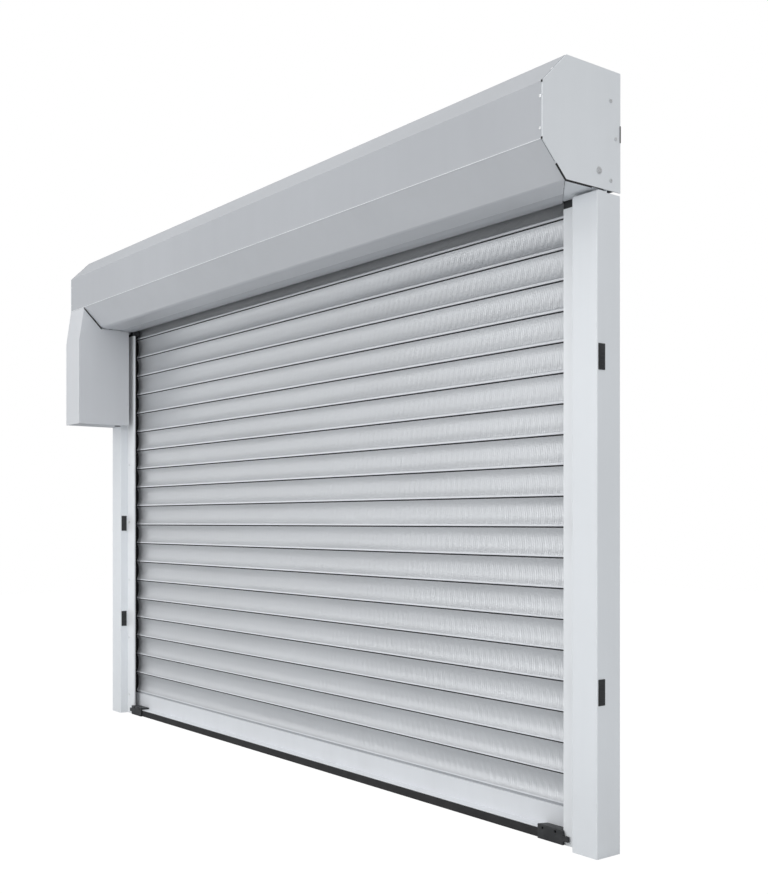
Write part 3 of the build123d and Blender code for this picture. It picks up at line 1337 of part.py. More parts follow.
def chain_points():
    """Roller centres round the loop, as (y, z): half of each sprocket and two straight runs."""
    points = []
    step = 360 / TEETH
    for y, z, start in ((operator_y, operator_z, run_angle - 90), (BARREL_Y, BARREL_Z, run_angle + 90)):
        for i in range(TEETH // 2 + 1):
            angle = math.radians(start + step * i)
            points.append((y + pitch_radius * math.cos(angle), z + pitch_radius * math.sin(angle)))
        last = points[-1]
        side = 1 if y == BARREL_Y else -1
        along = math.radians(run_angle)
        for i in range(1, CHAIN_RUN_LINKS):
            reach = side * CHAIN_PITCH * i
            points.append((last[0] + reach * math.cos(along), last[1] + reach * math.sin(along)))
    return points


links = []
rollers = chain_points()
for i, (here, after) in enumerate(zip(rollers, [*rollers[1:], rollers[0]])):
    lean = math.degrees(math.atan2(after[1] - here[1], after[0] - here[0]))
    link = outer_link if i % 2 else inner_link
    middle = (sprocket_x, (here[0] + after[0]) / 2, (here[1] + after[1]) / 2)
    links.append(link.part.moved(Location(middle, (lean, 0, 0))))
drive_chain = Compound(label="drive_chain", children=[solid for link in links for solid in link.solids()])
export_step(drive_chain, "parts/drive_chain.step")

# Operator: motor and gearbox on a bracket in front of the left guide, under a folded cover

BRACKET_INSET = 1.0
BRACKET_REACH = 80.0
BRACKET_SCREW_INSET = 20.0
BRACKET_LOW = operator_z - GEARBOX_SIDE / 2 + BRACKET_INSET
BRACKET_HIGH = operator_z + BRACKET_REACH
BRACKET_FRONT = operator_y - GEARBOX_SIDE / 2
FLANGE_OUT = 46.0
bracket_middle = (BRACKET_LOW + BRACKET_HIGH) / 2
bracket_heights = (BRACKET_LOW + BRACKET_SCREW_INSET, BRACKET_HIGH - BRACKET_SCREW_INSET)
bracket_screws = [(web_x - FLANGE_OUT / 2, z) for z in bracket_heights]
gearbox_corners = [
    (operator_y + i * GEARBOX_SCREW, operator_z + k * GEARBOX_SCREW) for i in (-1, 1) for k in (-1, 1)
]

with BuildPart() as operator_bracket:
    with Locations((web_x + WEB / 2, (BRACKET_FRONT - TUBE_DEPTH) / 2, bracket_middle)):
        Box(WEB, -TUBE_DEPTH - BRACKET_FRONT, BRACKET_HIGH - BRACKET_LOW)
    with Locations((web_x - FLANGE_OUT / 2, -TUBE_DEPTH - WEB / 2, bracket_middle)):
        Box(FLANGE_OUT, WEB, BRACKET_HIGH - BRACKET_LOW)
    with Locations([(x, -TUBE_DEPTH, z) for x, z in bracket_screws]):
        Cylinder(GEARBOX_SCREW_SHANK + HOLE_FIT, 4 * WEB, rotation=(90, 0, 0), mode=Mode.SUBTRACT)
    with BuildSketch(section_at(web_x - 1)):
        with Locations((operator_y, operator_z)):
            Circle(OPERATOR_SHAFT + SHAFT_PASS)
        with Locations(gearbox_corners):
            Circle(GEARBOX_SCREW_SHANK + HOLE_FIT)
    extrude(amount=WEB + 2, mode=Mode.SUBTRACT)
operator_bracket.part.label = "operator_bracket"
export_step(operator_bracket.part, "parts/operator_bracket.step")

with BuildPart() as operator_gearbox:
    with BuildSketch(section_at(gearbox_x)):
        with Locations((operator_y, operator_z)):
            RectangleRounded(GEARBOX_SIDE, GEARBOX_SIDE, GEARBOX_CORNER)
            Circle(OPERATOR_SHAFT + SHAFT_CLEARANCE, mode=Mode.SUBTRACT)
        with Locations(gearbox_corners):
            Circle(GEARBOX_SCREW_SHANK + SCREW_FIT, mode=Mode.SUBTRACT)
    extrude(amount=SHAFT_IN_GEARBOX + GEARBOX_FLOOR)
    with BuildSketch(section_at(gearbox_x + SHAFT_IN_GEARBOX + GEARBOX_FLOOR)):
        with Locations((operator_y, operator_z)):
            RectangleRounded(GEARBOX_SIDE, GEARBOX_SIDE, GEARBOX_CORNER)
    extrude(amount=GEARBOX_WIDTH - SHAFT_IN_GEARBOX - GEARBOX_FLOOR)
operator_gearbox.part.label = "operator_gearbox"
export_step(operator_gearbox.part, "parts/operator_gearbox.step")

MOTOR_RADIUS = 33.0
MOTOR_LENGTH = 105.0
MOTOR_FINS = 6
FIN_DEPTH = 2.0
motor_x = gearbox_x + GEARBOX_WIDTH / 2
motor_top = operator_z - GEARBOX_SIDE / 2

with BuildPart() as operator_motor:
    with BuildSketch(Plane.XY.offset(motor_top)):
        with Locations((motor_x, operator_y)):
            Circle(MOTOR_RADIUS - FIN_DEPTH)
    extrude(amount=-MOTOR_LENGTH)
    fin_step = MOTOR_LENGTH / (2 * MOTOR_FINS + 1)
    for i in range(MOTOR_FINS):
        with BuildSketch(Plane.XY.offset(motor_top - fin_step * (2 * i + 1))):
            with Locations((motor_x, operator_y)):
                Circle(MOTOR_RADIUS)
        extrude(amount=-fin_step)
operator_motor.part.label = "operator_motor"
export_step(operator_motor.part, "parts/operator_motor.step")

TAB_WIDTH = 20.0
TAB_HEIGHT = 30.0
TAB_SCREW_SHANK = 2.4
TAB_SCREW_HEAD = 4.5
TAB_HEAD_RISE = 2.0
TAB_FROM_FOOT = 40.0
TAB_FROM_BEND = 10.0
BRACKET_HEAD_RISE = 4.0
COVER_SEAM = 1.0  # between the cover and the housing above it
GLAND_INSET = 28.0
GLAND_FORWARD = 25.0
GLAND_NECK = 3.0  # thread radius below the nut's
tab_heights = (COVER_LOW + TAB_FROM_FOOT, COVER_BEND - TAB_FROM_BEND)
tab_x = -TUBE_OUTER + TAB_WIDTH / 2 + 1
cover_front = -BOX_DEPTH - COVER_PROUD
cover_top = front_low[1] - COVER_SEAM
cover_high = BOX_BOTTOM - COVER_SEAM
gland_x = COVER_INNER - GLAND_INSET
gland_y = -TUBE_DEPTH - GLAND_FORWARD
cover_outline = [
    (-TUBE_DEPTH, COVER_LOW),
    (cover_front, COVER_LOW),
    (cover_front, COVER_BEND),
    (-BOX_DEPTH, cover_top),
    (chamfer_foot[0] - COVER_SEAM, cover_high),
    (-TUBE_DEPTH, cover_high),
]

with BuildPart() as operator_cover:
    with BuildSketch(section_at(-TUBE_OUTER)):
        with BuildLine():
            Polyline(*cover_outline, close=True)
        make_face()
    extrude(amount=COVER_WIDTH)
    with BuildSketch(section_at(-TUBE_OUTER + COVER_WALL)):
        with BuildLine():
            Polyline(
                (1, COVER_LOW + COVER_WALL),
                (cover_front + COVER_WALL, COVER_LOW + COVER_WALL),
                (cover_front + COVER_WALL, COVER_BEND),
                (-BOX_DEPTH + COVER_WALL, cover_top + 1),
                (1, cover_top + 1),
                close=True,
            )
        make_face()
    extrude(amount=COVER_WIDTH - 2 * COVER_WALL, mode=Mode.SUBTRACT)
    with Locations(
        (
            COVER_INNER - COVER_WALL / 2,
            COVER_SIDE_LAP / 2 - TUBE_DEPTH,
            (COVER_LOW + cover_high) / 2,
        )
    ):
        Box(COVER_WALL, COVER_SIDE_LAP, cover_high - COVER_LOW)
    with Locations([(tab_x, -TUBE_DEPTH - COVER_WALL / 2, z) for z in tab_heights]):
        Box(TAB_WIDTH, COVER_WALL, TAB_HEIGHT)
    with Locations([(tab_x, -TUBE_DEPTH, z) for z in tab_heights]):
        Cylinder(TAB_SCREW_SHANK + HOLE_FIT, 4 * COVER_WALL, rotation=(90, 0, 0), mode=Mode.SUBTRACT)
    with Locations((gland_x, gland_y, COVER_LOW)):
        Cylinder(GLAND_RADIUS - GLAND_NECK + HOLE_FIT, 4 * COVER_WALL, mode=Mode.SUBTRACT)
operator_cover.part.label = "operator_cover"
export_step(operator_cover.part, "parts/operator_cover.step")

with BuildPart() as operator_screws:
    with Locations([(x, -TUBE_DEPTH - WEB - BRACKET_HEAD_RISE / 2, z) for x, z in bracket_screws]):
        Cylinder(2 * GEARBOX_SCREW_SHANK, BRACKET_HEAD_RISE, rotation=(90, 0, 0))
    with Locations([(x, -TUBE_DEPTH, z) for x, z in bracket_screws]):
        Cylinder(GEARBOX_SCREW_SHANK, 2 * WEB, rotation=(90, 0, 0))
    with Locations([(tab_x, -TUBE_DEPTH - COVER_WALL - TAB_HEAD_RISE / 2, z) for z in tab_heights]):
        Cylinder(TAB_SCREW_HEAD, TAB_HEAD_RISE, rotation=(90, 0, 0))
    with Locations([(tab_x, -TUBE_DEPTH, z) for z in tab_heights]):
        Cylinder(TAB_SCREW_SHANK, 2 * (COVER_WALL + TAB_HEAD_RISE / 2), rotation=(90, 0, 0))
    with BuildSketch(section_at(web_x)):
        with Locations(gearbox_corners):
            Circle(2 * GEARBOX_SCREW_SHANK)
    extrude(amount=-BRACKET_HEAD_RISE)
    with BuildSketch(section_at(web_x)):
        with Locations(gearbox_corners):
            Circle(GEARBOX_SCREW_SHANK)
    extrude(amount=SHAFT_IN_GEARBOX / 2)
operator_screws.part.label = "operator_screws"
export_step(operator_screws.part, "parts/operator_screws.step")

# Left guide tube: the mirror image of the right one, drilled for the operator

with BuildPart() as left_guide_tube:
    mirror(right_guide_tube.part, about=Plane.YZ)
    with Locations([(x, -TUBE_DEPTH, z) for x, z in bracket_screws]):
        Cylinder(GEARBOX_SCREW_SHANK + SCREW_FIT, 4 * TUBE_WALL, rotation=(90, 0, 0), mode=Mode.SUBTRACT)
    with Locations([(tab_x, -TUBE_DEPTH, z) for z in tab_heights]):
        Cylinder(TAB_SCREW_SHANK + SCREW_FIT, 4 * TUBE_WALL, rotation=(90, 0, 0), mode=Mode.SUBTRACT)
left_guide_tube.part.label = "left_guide_tube"
export_step(left_guide_tube.part, "parts/left_guide_tube.step")

GLAND_LIP = 2.5
GLAND_STEM = 12.0

with BuildPart() as cable_gland:
    with BuildSketch(Plane.XY.offset(COVER_LOW)):
        with Locations((gland_x, gland_y)):
            Circle(GLAND_RADIUS)
    extrude(amount=-GLAND_LIP)
    with BuildSketch(Plane.XY.offset(COVER_LOW)):
        with Locations((gland_x, gland_y)):
            Circle(GLAND_RADIUS - GLAND_NECK)
    extrude(amount=GLAND_STEM)
    with BuildSketch(Plane.XY.offset(COVER_LOW - GLAND_LIP)):
        with Locations((gland_x, gland_y)):
            Circle(GLAND_BORE)
    extrude(amount=GLAND_STEM + GLAND_LIP, mode=Mode.SUBTRACT)
cable_gland.part.label = "cable_gland"
export_step(cable_gland.part, "parts/cable_gland.step")
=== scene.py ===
"""Looks of a roller shutter door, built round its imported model.

Metres. X runs along the door, Y into the wall, Z up, as in the model. Every sub-assembly
is a class that makes its pieces, dresses them in their finishes and reports them.
"""

import json
import logging
import math
from dataclasses import dataclass
from enum import Enum
from typing import Callable, Iterable, Sequence

import bmesh
import bpy
from mathutils import Matrix, Vector

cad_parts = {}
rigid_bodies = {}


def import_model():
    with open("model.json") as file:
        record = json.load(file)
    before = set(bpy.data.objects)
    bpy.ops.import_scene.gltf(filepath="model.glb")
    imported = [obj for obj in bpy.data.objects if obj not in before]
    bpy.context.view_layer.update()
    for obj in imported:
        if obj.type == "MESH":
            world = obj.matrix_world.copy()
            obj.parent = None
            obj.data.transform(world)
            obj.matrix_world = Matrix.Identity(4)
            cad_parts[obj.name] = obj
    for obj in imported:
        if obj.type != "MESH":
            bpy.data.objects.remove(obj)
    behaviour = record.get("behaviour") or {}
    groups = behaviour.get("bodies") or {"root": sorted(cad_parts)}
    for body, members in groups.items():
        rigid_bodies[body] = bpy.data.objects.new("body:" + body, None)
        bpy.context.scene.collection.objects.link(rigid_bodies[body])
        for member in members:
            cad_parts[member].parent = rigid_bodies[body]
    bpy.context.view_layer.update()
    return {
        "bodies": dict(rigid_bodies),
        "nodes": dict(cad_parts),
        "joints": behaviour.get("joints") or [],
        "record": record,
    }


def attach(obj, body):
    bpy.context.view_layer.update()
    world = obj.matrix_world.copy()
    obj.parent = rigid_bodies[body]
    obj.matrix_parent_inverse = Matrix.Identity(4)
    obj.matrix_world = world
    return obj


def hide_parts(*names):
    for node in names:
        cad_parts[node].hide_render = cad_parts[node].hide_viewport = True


LOG = logging.getLogger("roller_shutter_door")
MM = 0.001
MERGE_REACH = 0.00002
FLAT_ANGLE = math.radians(0.5)
WAVE_FACTOR = 20  # the wave texture's own factor on its scale

Point = tuple[float, float]
Colour = tuple[float, float, float]


class Side(Enum):
    """The two ends of the door."""

    LEFT = -1
    RIGHT = 1


class HeadKind(Enum):
    """Shapes of fastener heads."""

    CROSS = "pan head with a cross recess"
    HEX = "hexagon head"
    DOME = "domed rivet head"


class Grain(Enum):
    """How the surface of a moulded or cast piece is broken up."""

    FINE = 900.0
    COARSE = 260.0


@dataclass(frozen=True)
class PhotoView:
    """The photograph's frame and the place it was taken from."""

    width_px: int = 768
    height_px: int = 894
    focal_px: float = 1135.0
    horizon_row: float = 521.6
    place: tuple[float, float, float] = (3.1375, -2.1125, 0.795)
    turn_deg: float = 52.16
    sensor_mm: float = 36.0

    def make_camera(self) -> bpy.types.Object:
        """Adds the camera and makes it the scene's own.

        Returns:
            The camera object.
        """
        data = bpy.data.cameras.new("photo_camera")
        data.sensor_width = self.sensor_mm
        data.lens = self.focal_px / self.height_px * self.sensor_mm
        data.shift_y = (self.horizon_row - self.height_px / 2) / self.height_px
        camera = bpy.data.objects.new("photo_camera", data)
        camera.location = self.place
        camera.rotation_euler = (math.pi / 2, 0, math.radians(self.turn_deg))
        bpy.context.scene.collection.objects.link(camera)
        bpy.context.scene.camera = camera
        return camera


class NodeGraph:
    """Short names for the shader nodes that the finishes use."""

    def __init__(self, name: str) -> None:
        """Starts a material with one Principled shader.

        Args:
            name: Name of the material.
        """
        self.material = bpy.data.materials.new(name)
        self.material.use_nodes = True
        self.tree = self.material.node_tree
        self.shader = self.tree.nodes["Principled BSDF"]

    def add(self, kind: str, **values: object) -> bpy.types.Node:
        """Adds a node and sets its properties.

        Args:
            kind: Blender's name of the node type, without the prefix.
            **values: Properties of the node.

        Returns:
            The node.
        """
        node = self.tree.nodes.new("ShaderNode" + kind)
        for key, value in values.items():
            setattr(node, key, value)
        return node

    def link(self, source: bpy.types.NodeSocket, target: bpy.types.NodeSocket) -> None:
        """Joins two sockets."""
        self.tree.links.new(source, target)

    def coordinates(
        self, scale: Sequence[float] = (1, 1, 1), turn: Sequence[float] = (0, 0, 0)
    ) -> bpy.types.NodeSocket:
        """Object coordinates, stretched and turned.

        Args:
            scale: Factor along each axis.
            turn: Rotation in degrees about each axis.

        Returns:
            The mapped coordinate socket.
        """
        source = self.add("TexCoord")
        mapping = self.add("Mapping")
        mapping.inputs["Scale"].default_value = scale
        mapping.inputs["Rotation"].default_value = [math.radians(angle) for angle in turn]
        self.link(source.outputs["Object"], mapping.inputs["Vector"])
        return mapping.outputs["Vector"]

    def noise(
        self, place: bpy.types.NodeSocket, scale: float, detail: float = 3.0, rough: float = 0.5
    ) -> bpy.types.NodeSocket:
        """Adds noise at a mapped place.

        Args:
            place: Socket of the coordinates.
            scale: Noise cells per metre.
            detail: Octaves.
            rough: Share of the finer octaves.

        Returns:
            The noise value's socket.
        """
        node = self.add("TexNoise")
        node.inputs["Scale"].default_value = scale
        node.inputs["Detail"].default_value = detail
        node.inputs["Roughness"].default_value = rough
        self.link(place, node.inputs["Vector"])
        return node.outputs["Fac"]

    def spread(
        self,
        value: bpy.types.NodeSocket,
        low: float,
        high: float,
        lowest: float = 0.3,
        highest: float = 0.7,
    ) -> bpy.types.NodeSocket:
        """Maps a value from one range to another.

        Args:
            value: Socket to map.
            low: Result at the range's start.
            high: Result at the range's end.
            lowest: Start of the value's range.
            highest: End of the value's range.

        Returns:
            The mapped value's socket.
        """
        node = self.add("MapRange")
        node.inputs["From Min"].default_value = lowest
        node.inputs["From Max"].default_value = highest
        node.inputs["To Min"].default_value = low
        node.inputs["To Max"].default_value = high
        self.link(value, node.inputs["Value"])
        return node.outputs["Result"]

    def blend(self, share: bpy.types.NodeSocket, low: Colour, high: Colour) -> bpy.types.NodeSocket:
        """Mixes two colours by a value.

        Args:
            share: Socket of the mixing value.
            low: Colour at 0.
            high: Colour at 1.

        Returns:
            The mixed colour's socket.
        """
        node = self.add("Mix", data_type="RGBA")
        node.inputs["A"].default_value = (*low, 1)
        node.inputs["B"].default_value = (*high, 1)
        self.link(share, node.inputs["Factor"])
        return node.outputs["Result"]

    def bump(
        self,
        height: bpy.types.NodeSocket,
        depth: float,
        strength: float = 1.0,
        under: bpy.types.NodeSocket | None = None,
    ) -> bpy.types.NodeSocket:
        """Adds a bump, on top of another one if there is one.

        Args:
            height: Socket of the height, from 0 to 1.
            depth: Height of the bump in metres.
            strength: Share of the bump that shows.
            under: Normal socket of the bump below.

        Returns:
            The normal's socket.
        """
        node = self.add("Bump")
        node.inputs["Strength"].default_value = strength
        node.inputs["Distance"].default_value = depth
        self.link(height, node.inputs["Height"])
        if under is not None:
            self.link(under, node.inputs["Normal"])
        return node.outputs["Normal"]

    def plain(self, **values: object) -> None:
        """Sets sockets of the shader, named with underscores for spaces."""
        for key, value in values.items():
            self.shader.inputs[key.replace("_", " ")].default_value = value

    def out(self, socket: bpy.types.NodeSocket, target: str) -> None:
        """Joins a socket to the shader."""
        self.link(socket, self.shader.inputs[target])


def shade(colour: Colour, factor: float) -> Colour:
    """Makes a colour lighter or darker by a factor, at most white."""
    return tuple(min(1.0, channel * factor) for channel in colour)


@dataclass(frozen=True)
class PowderCoat:
    """Baked coat on steel or aluminium: faint orange peel, faint clouding and floor dust."""

    name: str
    colour: Colour
    roughness: float = 0.42
    peel_depth: float = 0.00006
    clouding: float = 0.035
    dust: float = 0.1
    dust_colour: Colour = (0.42, 0.39, 0.35)
    dust_height: float = 0.22
    cloud_scale: float = 1.7
    streak_stretch: tuple[float, float, float] = (14, 14, 0.8)
    patch_scale: float = 9.0
    peel_scale: float = 420.0

    def make(self) -> bpy.types.Material:
        """Builds the material.

        Returns:
            The material.
        """
        graph = NodeGraph(self.name)
        place = graph.coordinates()
        cloud = graph.noise(place, self.cloud_scale, 4.0, 0.55)
        streak = graph.noise(graph.coordinates(self.streak_stretch), 1.0, 5.0, 0.6)
        tone = graph.add("Math", operation="ADD")
        graph.link(graph.spread(cloud, 0, 0.6), tone.inputs[0])
        graph.link(graph.spread(streak, 0, 0.4), tone.inputs[1])
        dark, light = shade(self.colour, 1 - self.clouding), shade(self.colour, 1 + self.clouding)
        body = graph.blend(tone.outputs[0], dark, light)
        height = graph.add("SeparateXYZ")
        graph.link(place, height.inputs[0])
        low = graph.spread(height.outputs["Z"], self.dust, 0.0, 0.0, self.dust_height)
        patch = graph.add("Math", operation="MULTIPLY")
        graph.link(low, patch.inputs[0])
        speckle = graph.noise(place, self.patch_scale, 5.0, 0.65)
        graph.link(graph.spread(speckle, 0.2, 1.0), patch.inputs[1])
        dusty = graph.add("Mix", data_type="RGBA")
        graph.link(patch.outputs[0], dusty.inputs["Factor"])
        graph.link(body, dusty.inputs["A"])
        dusty.inputs["B"].default_value = (*self.dust_colour, 1)
        graph.out(dusty.outputs["Result"], "Base Color")
        graph.out(graph.spread(cloud, self.roughness - 0.05, self.roughness + 0.06), "Roughness")
        peel = graph.noise(place, self.peel_scale, 2.0, 0.5)
        graph.out(graph.bump(peel, self.peel_depth, 0.6), "Normal")
        graph.plain(Specular_IOR_Level=0.5, Coat_Weight=0.12, Coat_Roughness=0.25)
        return graph.material


@dataclass(frozen=True)
class EmbossedCoat:
    """Roll-formed, lacquered aluminium with a fine ripple and broader waves pressed into it.

    The waves run along wide arcs round a point beside the door, so that they lean one way
    low down and the other way high up.
    """

    name: str
    colour: Colour
    roughness: float = 0.40
    ripple_pitch: float = 0.0078
    ripple_depth: float = 0.00035
    lean_deg: float = 9.0
    wave_pitch: float = 0.023
    wave_depth: float = 0.00035
    arc_centre: tuple[float, float] = (2.3, 0.88)

    def make(self) -> bpy.types.Material:
        """Builds the material.

        Returns:
            The material.
        """
        graph = NodeGraph(self.name)
        place = graph.coordinates()
        leaning = graph.coordinates(turn=(0, self.lean_deg, 0))
        wave = graph.add("TexWave", bands_direction="X", wave_profile="SIN")
        wave.inputs["Scale"].default_value = math.tau / (WAVE_FACTOR * self.ripple_pitch)
        wave.inputs["Distortion"].default_value = 1.6
        wave.inputs["Detail"].default_value = 1.0
        wave.inputs["Detail Scale"].default_value = 0.35
        graph.link(leaning, wave.inputs["Vector"])
        cloud = graph.noise(graph.coordinates((0.6, 1, 5)), 2.2, 4.0, 0.55)
        body = graph.blend(graph.spread(cloud, 0, 1), shade(self.colour, 0.965), shade(self.colour, 1.03))
        graph.out(body, "Base Color")
        graph.out(graph.spread(cloud, self.roughness - 0.04, self.roughness + 0.06), "Roughness")
        fine = graph.bump(graph.noise(place, 650.0, 2.0), 0.00004, 0.5)
        rippled = graph.bump(wave.outputs["Fac"], self.ripple_depth, 0.85, fine)
        arcs = graph.add("TexWave", wave_type="RINGS", rings_direction="Y", wave_profile="SIN")
        arcs.inputs["Scale"].default_value = math.tau / (WAVE_FACTOR * self.wave_pitch)
        arcs.inputs["Distortion"].default_value = 1.2
        arcs.inputs["Detail"].default_value = 1.0
        arcs.inputs["Detail Scale"].default_value = 0.3
        centred = graph.add("VectorMath", operation="SUBTRACT")
        centred.inputs[1].default_value = (self.arc_centre[0], 0, self.arc_centre[1])
        graph.link(place, centred.inputs[0])
        graph.link(centred.outputs[0], arcs.inputs["Vector"])
        graph.out(graph.bump(arcs.outputs["Fac"], self.wave_depth, 0.8, rippled), "Normal")
        graph.plain(Metallic=0.55, Specular_IOR_Level=0.5, Coat_Weight=0.05, Coat_Roughness=0.35)
        return graph.material


@dataclass(frozen=True)
class BareMetal:
    """Plated or mill-finish metal, brushed along one axis or spangled by its zinc."""

    name: str
    colour: Colour
    roughness: float = 0.34
    spangle: float = 0.0
    brush: tuple[float, float, float] = (1.0, 1.0, 18.0)

    def make(self) -> bpy.types.Material:
        """Builds the material.

        Returns:
            The material.
        """
        graph = NodeGraph(self.name)
        place = graph.coordinates()
        hairs = graph.noise(graph.coordinates(self.brush), 220.0, 4.0, 0.6)
        stain = graph.noise(place, 14.0, 5.0, 0.6)
        if self.spangle:
            cells = graph.add("TexVoronoi", feature="F1")
            cells.inputs["Scale"].default_value = 1 / self.spangle
            graph.link(place, cells.inputs["Vector"])
            grey = graph.add("RGBToBW")
            graph.link(cells.outputs["Color"], grey.inputs[0])
            share = grey.outputs[0]
        else:
            share = graph.spread(stain, 0, 1)
        graph.out(graph.blend(share, shade(self.colour, 0.84), shade(self.colour, 1.12)), "Base Color")
        graph.out(graph.spread(hairs, self.roughness - 0.08, self.roughness + 0.14), "Roughness")
        graph.out(graph.bump(hairs, 0.00003, 0.7), "Normal")
        graph.plain(Metallic=0.92)
        return graph.material


@dataclass(frozen=True)
class Moulded:
    """Moulded plastic, rubber or rough cast metal in one dark or grey colour."""

    name: str
    colour: Colour
    roughness: float = 0.55
    grain: Grain = Grain.FINE
    grain_depth: float = 0.00008
    dust: float = 0.25

    def make(self) -> bpy.types.Material:
        """Builds the material.

        Returns:
            The material.
        """
        graph = NodeGraph(self.name)
        place = graph.coordinates()
        scuff = graph.noise(place, 24.0, 6.0, 0.68)
        dusting = graph.spread(scuff, 0.0, self.dust, 0.45, 0.8)
        scuffed = tuple(channel * 0.7 + 0.09 for channel in self.colour)
        graph.out(graph.blend(dusting, self.colour, scuffed), "Base Color")
        graph.out(graph.spread(scuff, self.roughness - 0.08, self.roughness + 0.12), "Roughness")
        texture = graph.noise(place, self.grain.value, 2.0, 0.6)
        graph.out(graph.bump(texture, self.grain_depth, 0.7), "Normal")
        graph.plain(Specular_IOR_Level=0.4)
        return graph.material


@dataclass(frozen=True)
class Palette:
    """Every finish of the door, by the record's material slot."""

    finishes: tuple[object, ...] = (
        PowderCoat("guide_steel", (0.795, 0.822, 0.85), 0.38),
        PowderCoat("lip_aluminium", (0.85, 0.87, 0.89), 0.34),
        EmbossedCoat("slat_aluminium", (0.615, 0.63, 0.65)),
        PowderCoat("bar_aluminium", (0.755, 0.775, 0.805), 0.40),
        PowderCoat("housing_sheet", (0.45, 0.465, 0.49), 0.36, dust=0.0),
        # cover_sheet is the housing's sheet coat made lighter: painted light on the cover and end plates
        PowderCoat("cover_sheet", (0.62, 0.635, 0.66), 0.38, dust=0.0),
        Moulded("black_plastic", (0.022, 0.023, 0.025), 0.48),
        Moulded("black_rubber", (0.018, 0.018, 0.019), 0.68, Grain.COARSE, 0.00012),
        BareMetal("zinc_steel", (0.80, 0.81, 0.82), 0.30),
        BareMetal("galvanised_steel", (0.56, 0.58, 0.60), 0.40, spangle=0.011),
        BareMetal("dark_steel", (0.16, 0.16, 0.165), 0.36, brush=(18, 1, 1)),
        Moulded("cast_housing", (0.20, 0.215, 0.235), 0.5, Grain.COARSE, 0.00025, 0.1),
        Moulded("motor_paint", (0.06, 0.07, 0.085), 0.42, Grain.COARSE, 0.0001, 0.1),
    )

    def make(self) -> dict[str, bpy.types.Material]:
        """Builds every material, keyed by slot name."""
        return {finish.name: finish.make() for finish in self.finishes}


class Workshop:
    """What the sub-assemblies share: the frame, the materials and the dressing of pieces."""

    def __init__(self, frame: dict) -> None:
        """Reads the frame and makes the finishes.
        """
        self.frame = frame
        self.materials = Palette().make()
        record = frame["record"]
        self.slot_of = {part["node"]: part["material_slot"] for part in record["subparts"]}
        self.body_of = {
            node: body for body, nodes in record["behaviour"]["bodies"].items() for node in nodes
        }

    def paint(self, piece: bpy.types.Object, slot: str) -> None:
        """Gives a piece one finish all over.

        Args:
            piece: The piece.
            slot: The finish's material slot.
        """
        piece.data.materials.clear()
        piece.data.materials.append(self.materials[slot])

    def dress(self, piece: bpy.types.Object, node: str, slot: str | None = None) -> None:
        """Paints a new piece, rides it on its node's body and names its slot.

        Args:
            piece: The new piece.
            node: The CAD node it stands for or belongs to.
            slot: Material slot, if it isn't the node's own.
        """
        slot = slot or self.slot_of[node]
        self.paint(piece, slot)
        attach(piece, self.body_of[node])

    def carry(self, nodes: Iterable[str]) -> None:
        """Keeps CAD nodes as they are and gives each its finish.

        Args:
            nodes: Names of the nodes.
        """
        for node in nodes:
            self.paint(self.frame["nodes"][node], self.slot_of[node])
            LOG.info("kept %s", node)


def deselect() -> None:
    """Leaves nothing selected, in object mode."""
    if bpy.context.object and bpy.context.object.mode != "OBJECT":
        bpy.ops.object.mode_set(mode="OBJECT")
    bpy.ops.object.select_all(action="DESELECT")


def activate(piece: bpy.types.Object) -> None:
    """Selects one piece alone and makes it active."""
    deselect()
    piece.select_set(True)
    bpy.context.view_layer.objects.active = piece


def apply_modifiers(piece: bpy.types.Object) -> None:
    """Applies a piece's modifiers in order."""
    activate(piece)
    for modifier in list(piece.modifiers):
        bpy.ops.object.modifier_apply(modifier=modifier.name)


def settle(piece: bpy.types.Object) -> None:
    """Moves a piece's place into its mesh."""
    activate(piece)
    bpy.ops.object.transform_apply(location=True, rotation=True, scale=True)


def smooth(piece: bpy.types.Object, angle_deg: float = 32.0) -> None:
    """Shades smooth across edges flatter than an angle."""
    activate(piece)
    bpy.ops.object.shade_smooth_by_angle(angle=math.radians(angle_deg))


def round_edges(piece: bpy.types.Object, width: float, segments: int = 2, angle_deg: float = 32.0) -> None:
    """Rounds a piece's sharp edges.

    Args:
        piece: The piece.
        width: Width of the rounding in metres.
        segments: Steps across the rounding.
        angle_deg: Edges that bend less than this stay as they are.
    """
    bevel = piece.modifiers.new("round_edges", "BEVEL")
    bevel.width = width
    bevel.segments = segments
    bevel.limit_method = "ANGLE"
    bevel.angle_limit = math.radians(angle_deg)
    bevel.harden_normals = False
    apply_modifiers(piece)


def level_normals(piece: bpy.types.Object, angle_deg: float = 80.0) -> None:
    """Shades smooth, with normals that follow the large faces so that these look flat.

    Args:
        piece: The piece.
        angle_deg: Edges that bend more than this stay sharp.
    """
    smooth(piece, angle_deg)
    weighted = piece.modifiers.new("level_normals", "WEIGHTED_NORMAL")
    weighted.mode = "FACE_AREA"
    weighted.weight = 100
    weighted.keep_sharp = True
    apply_modifiers(piece)


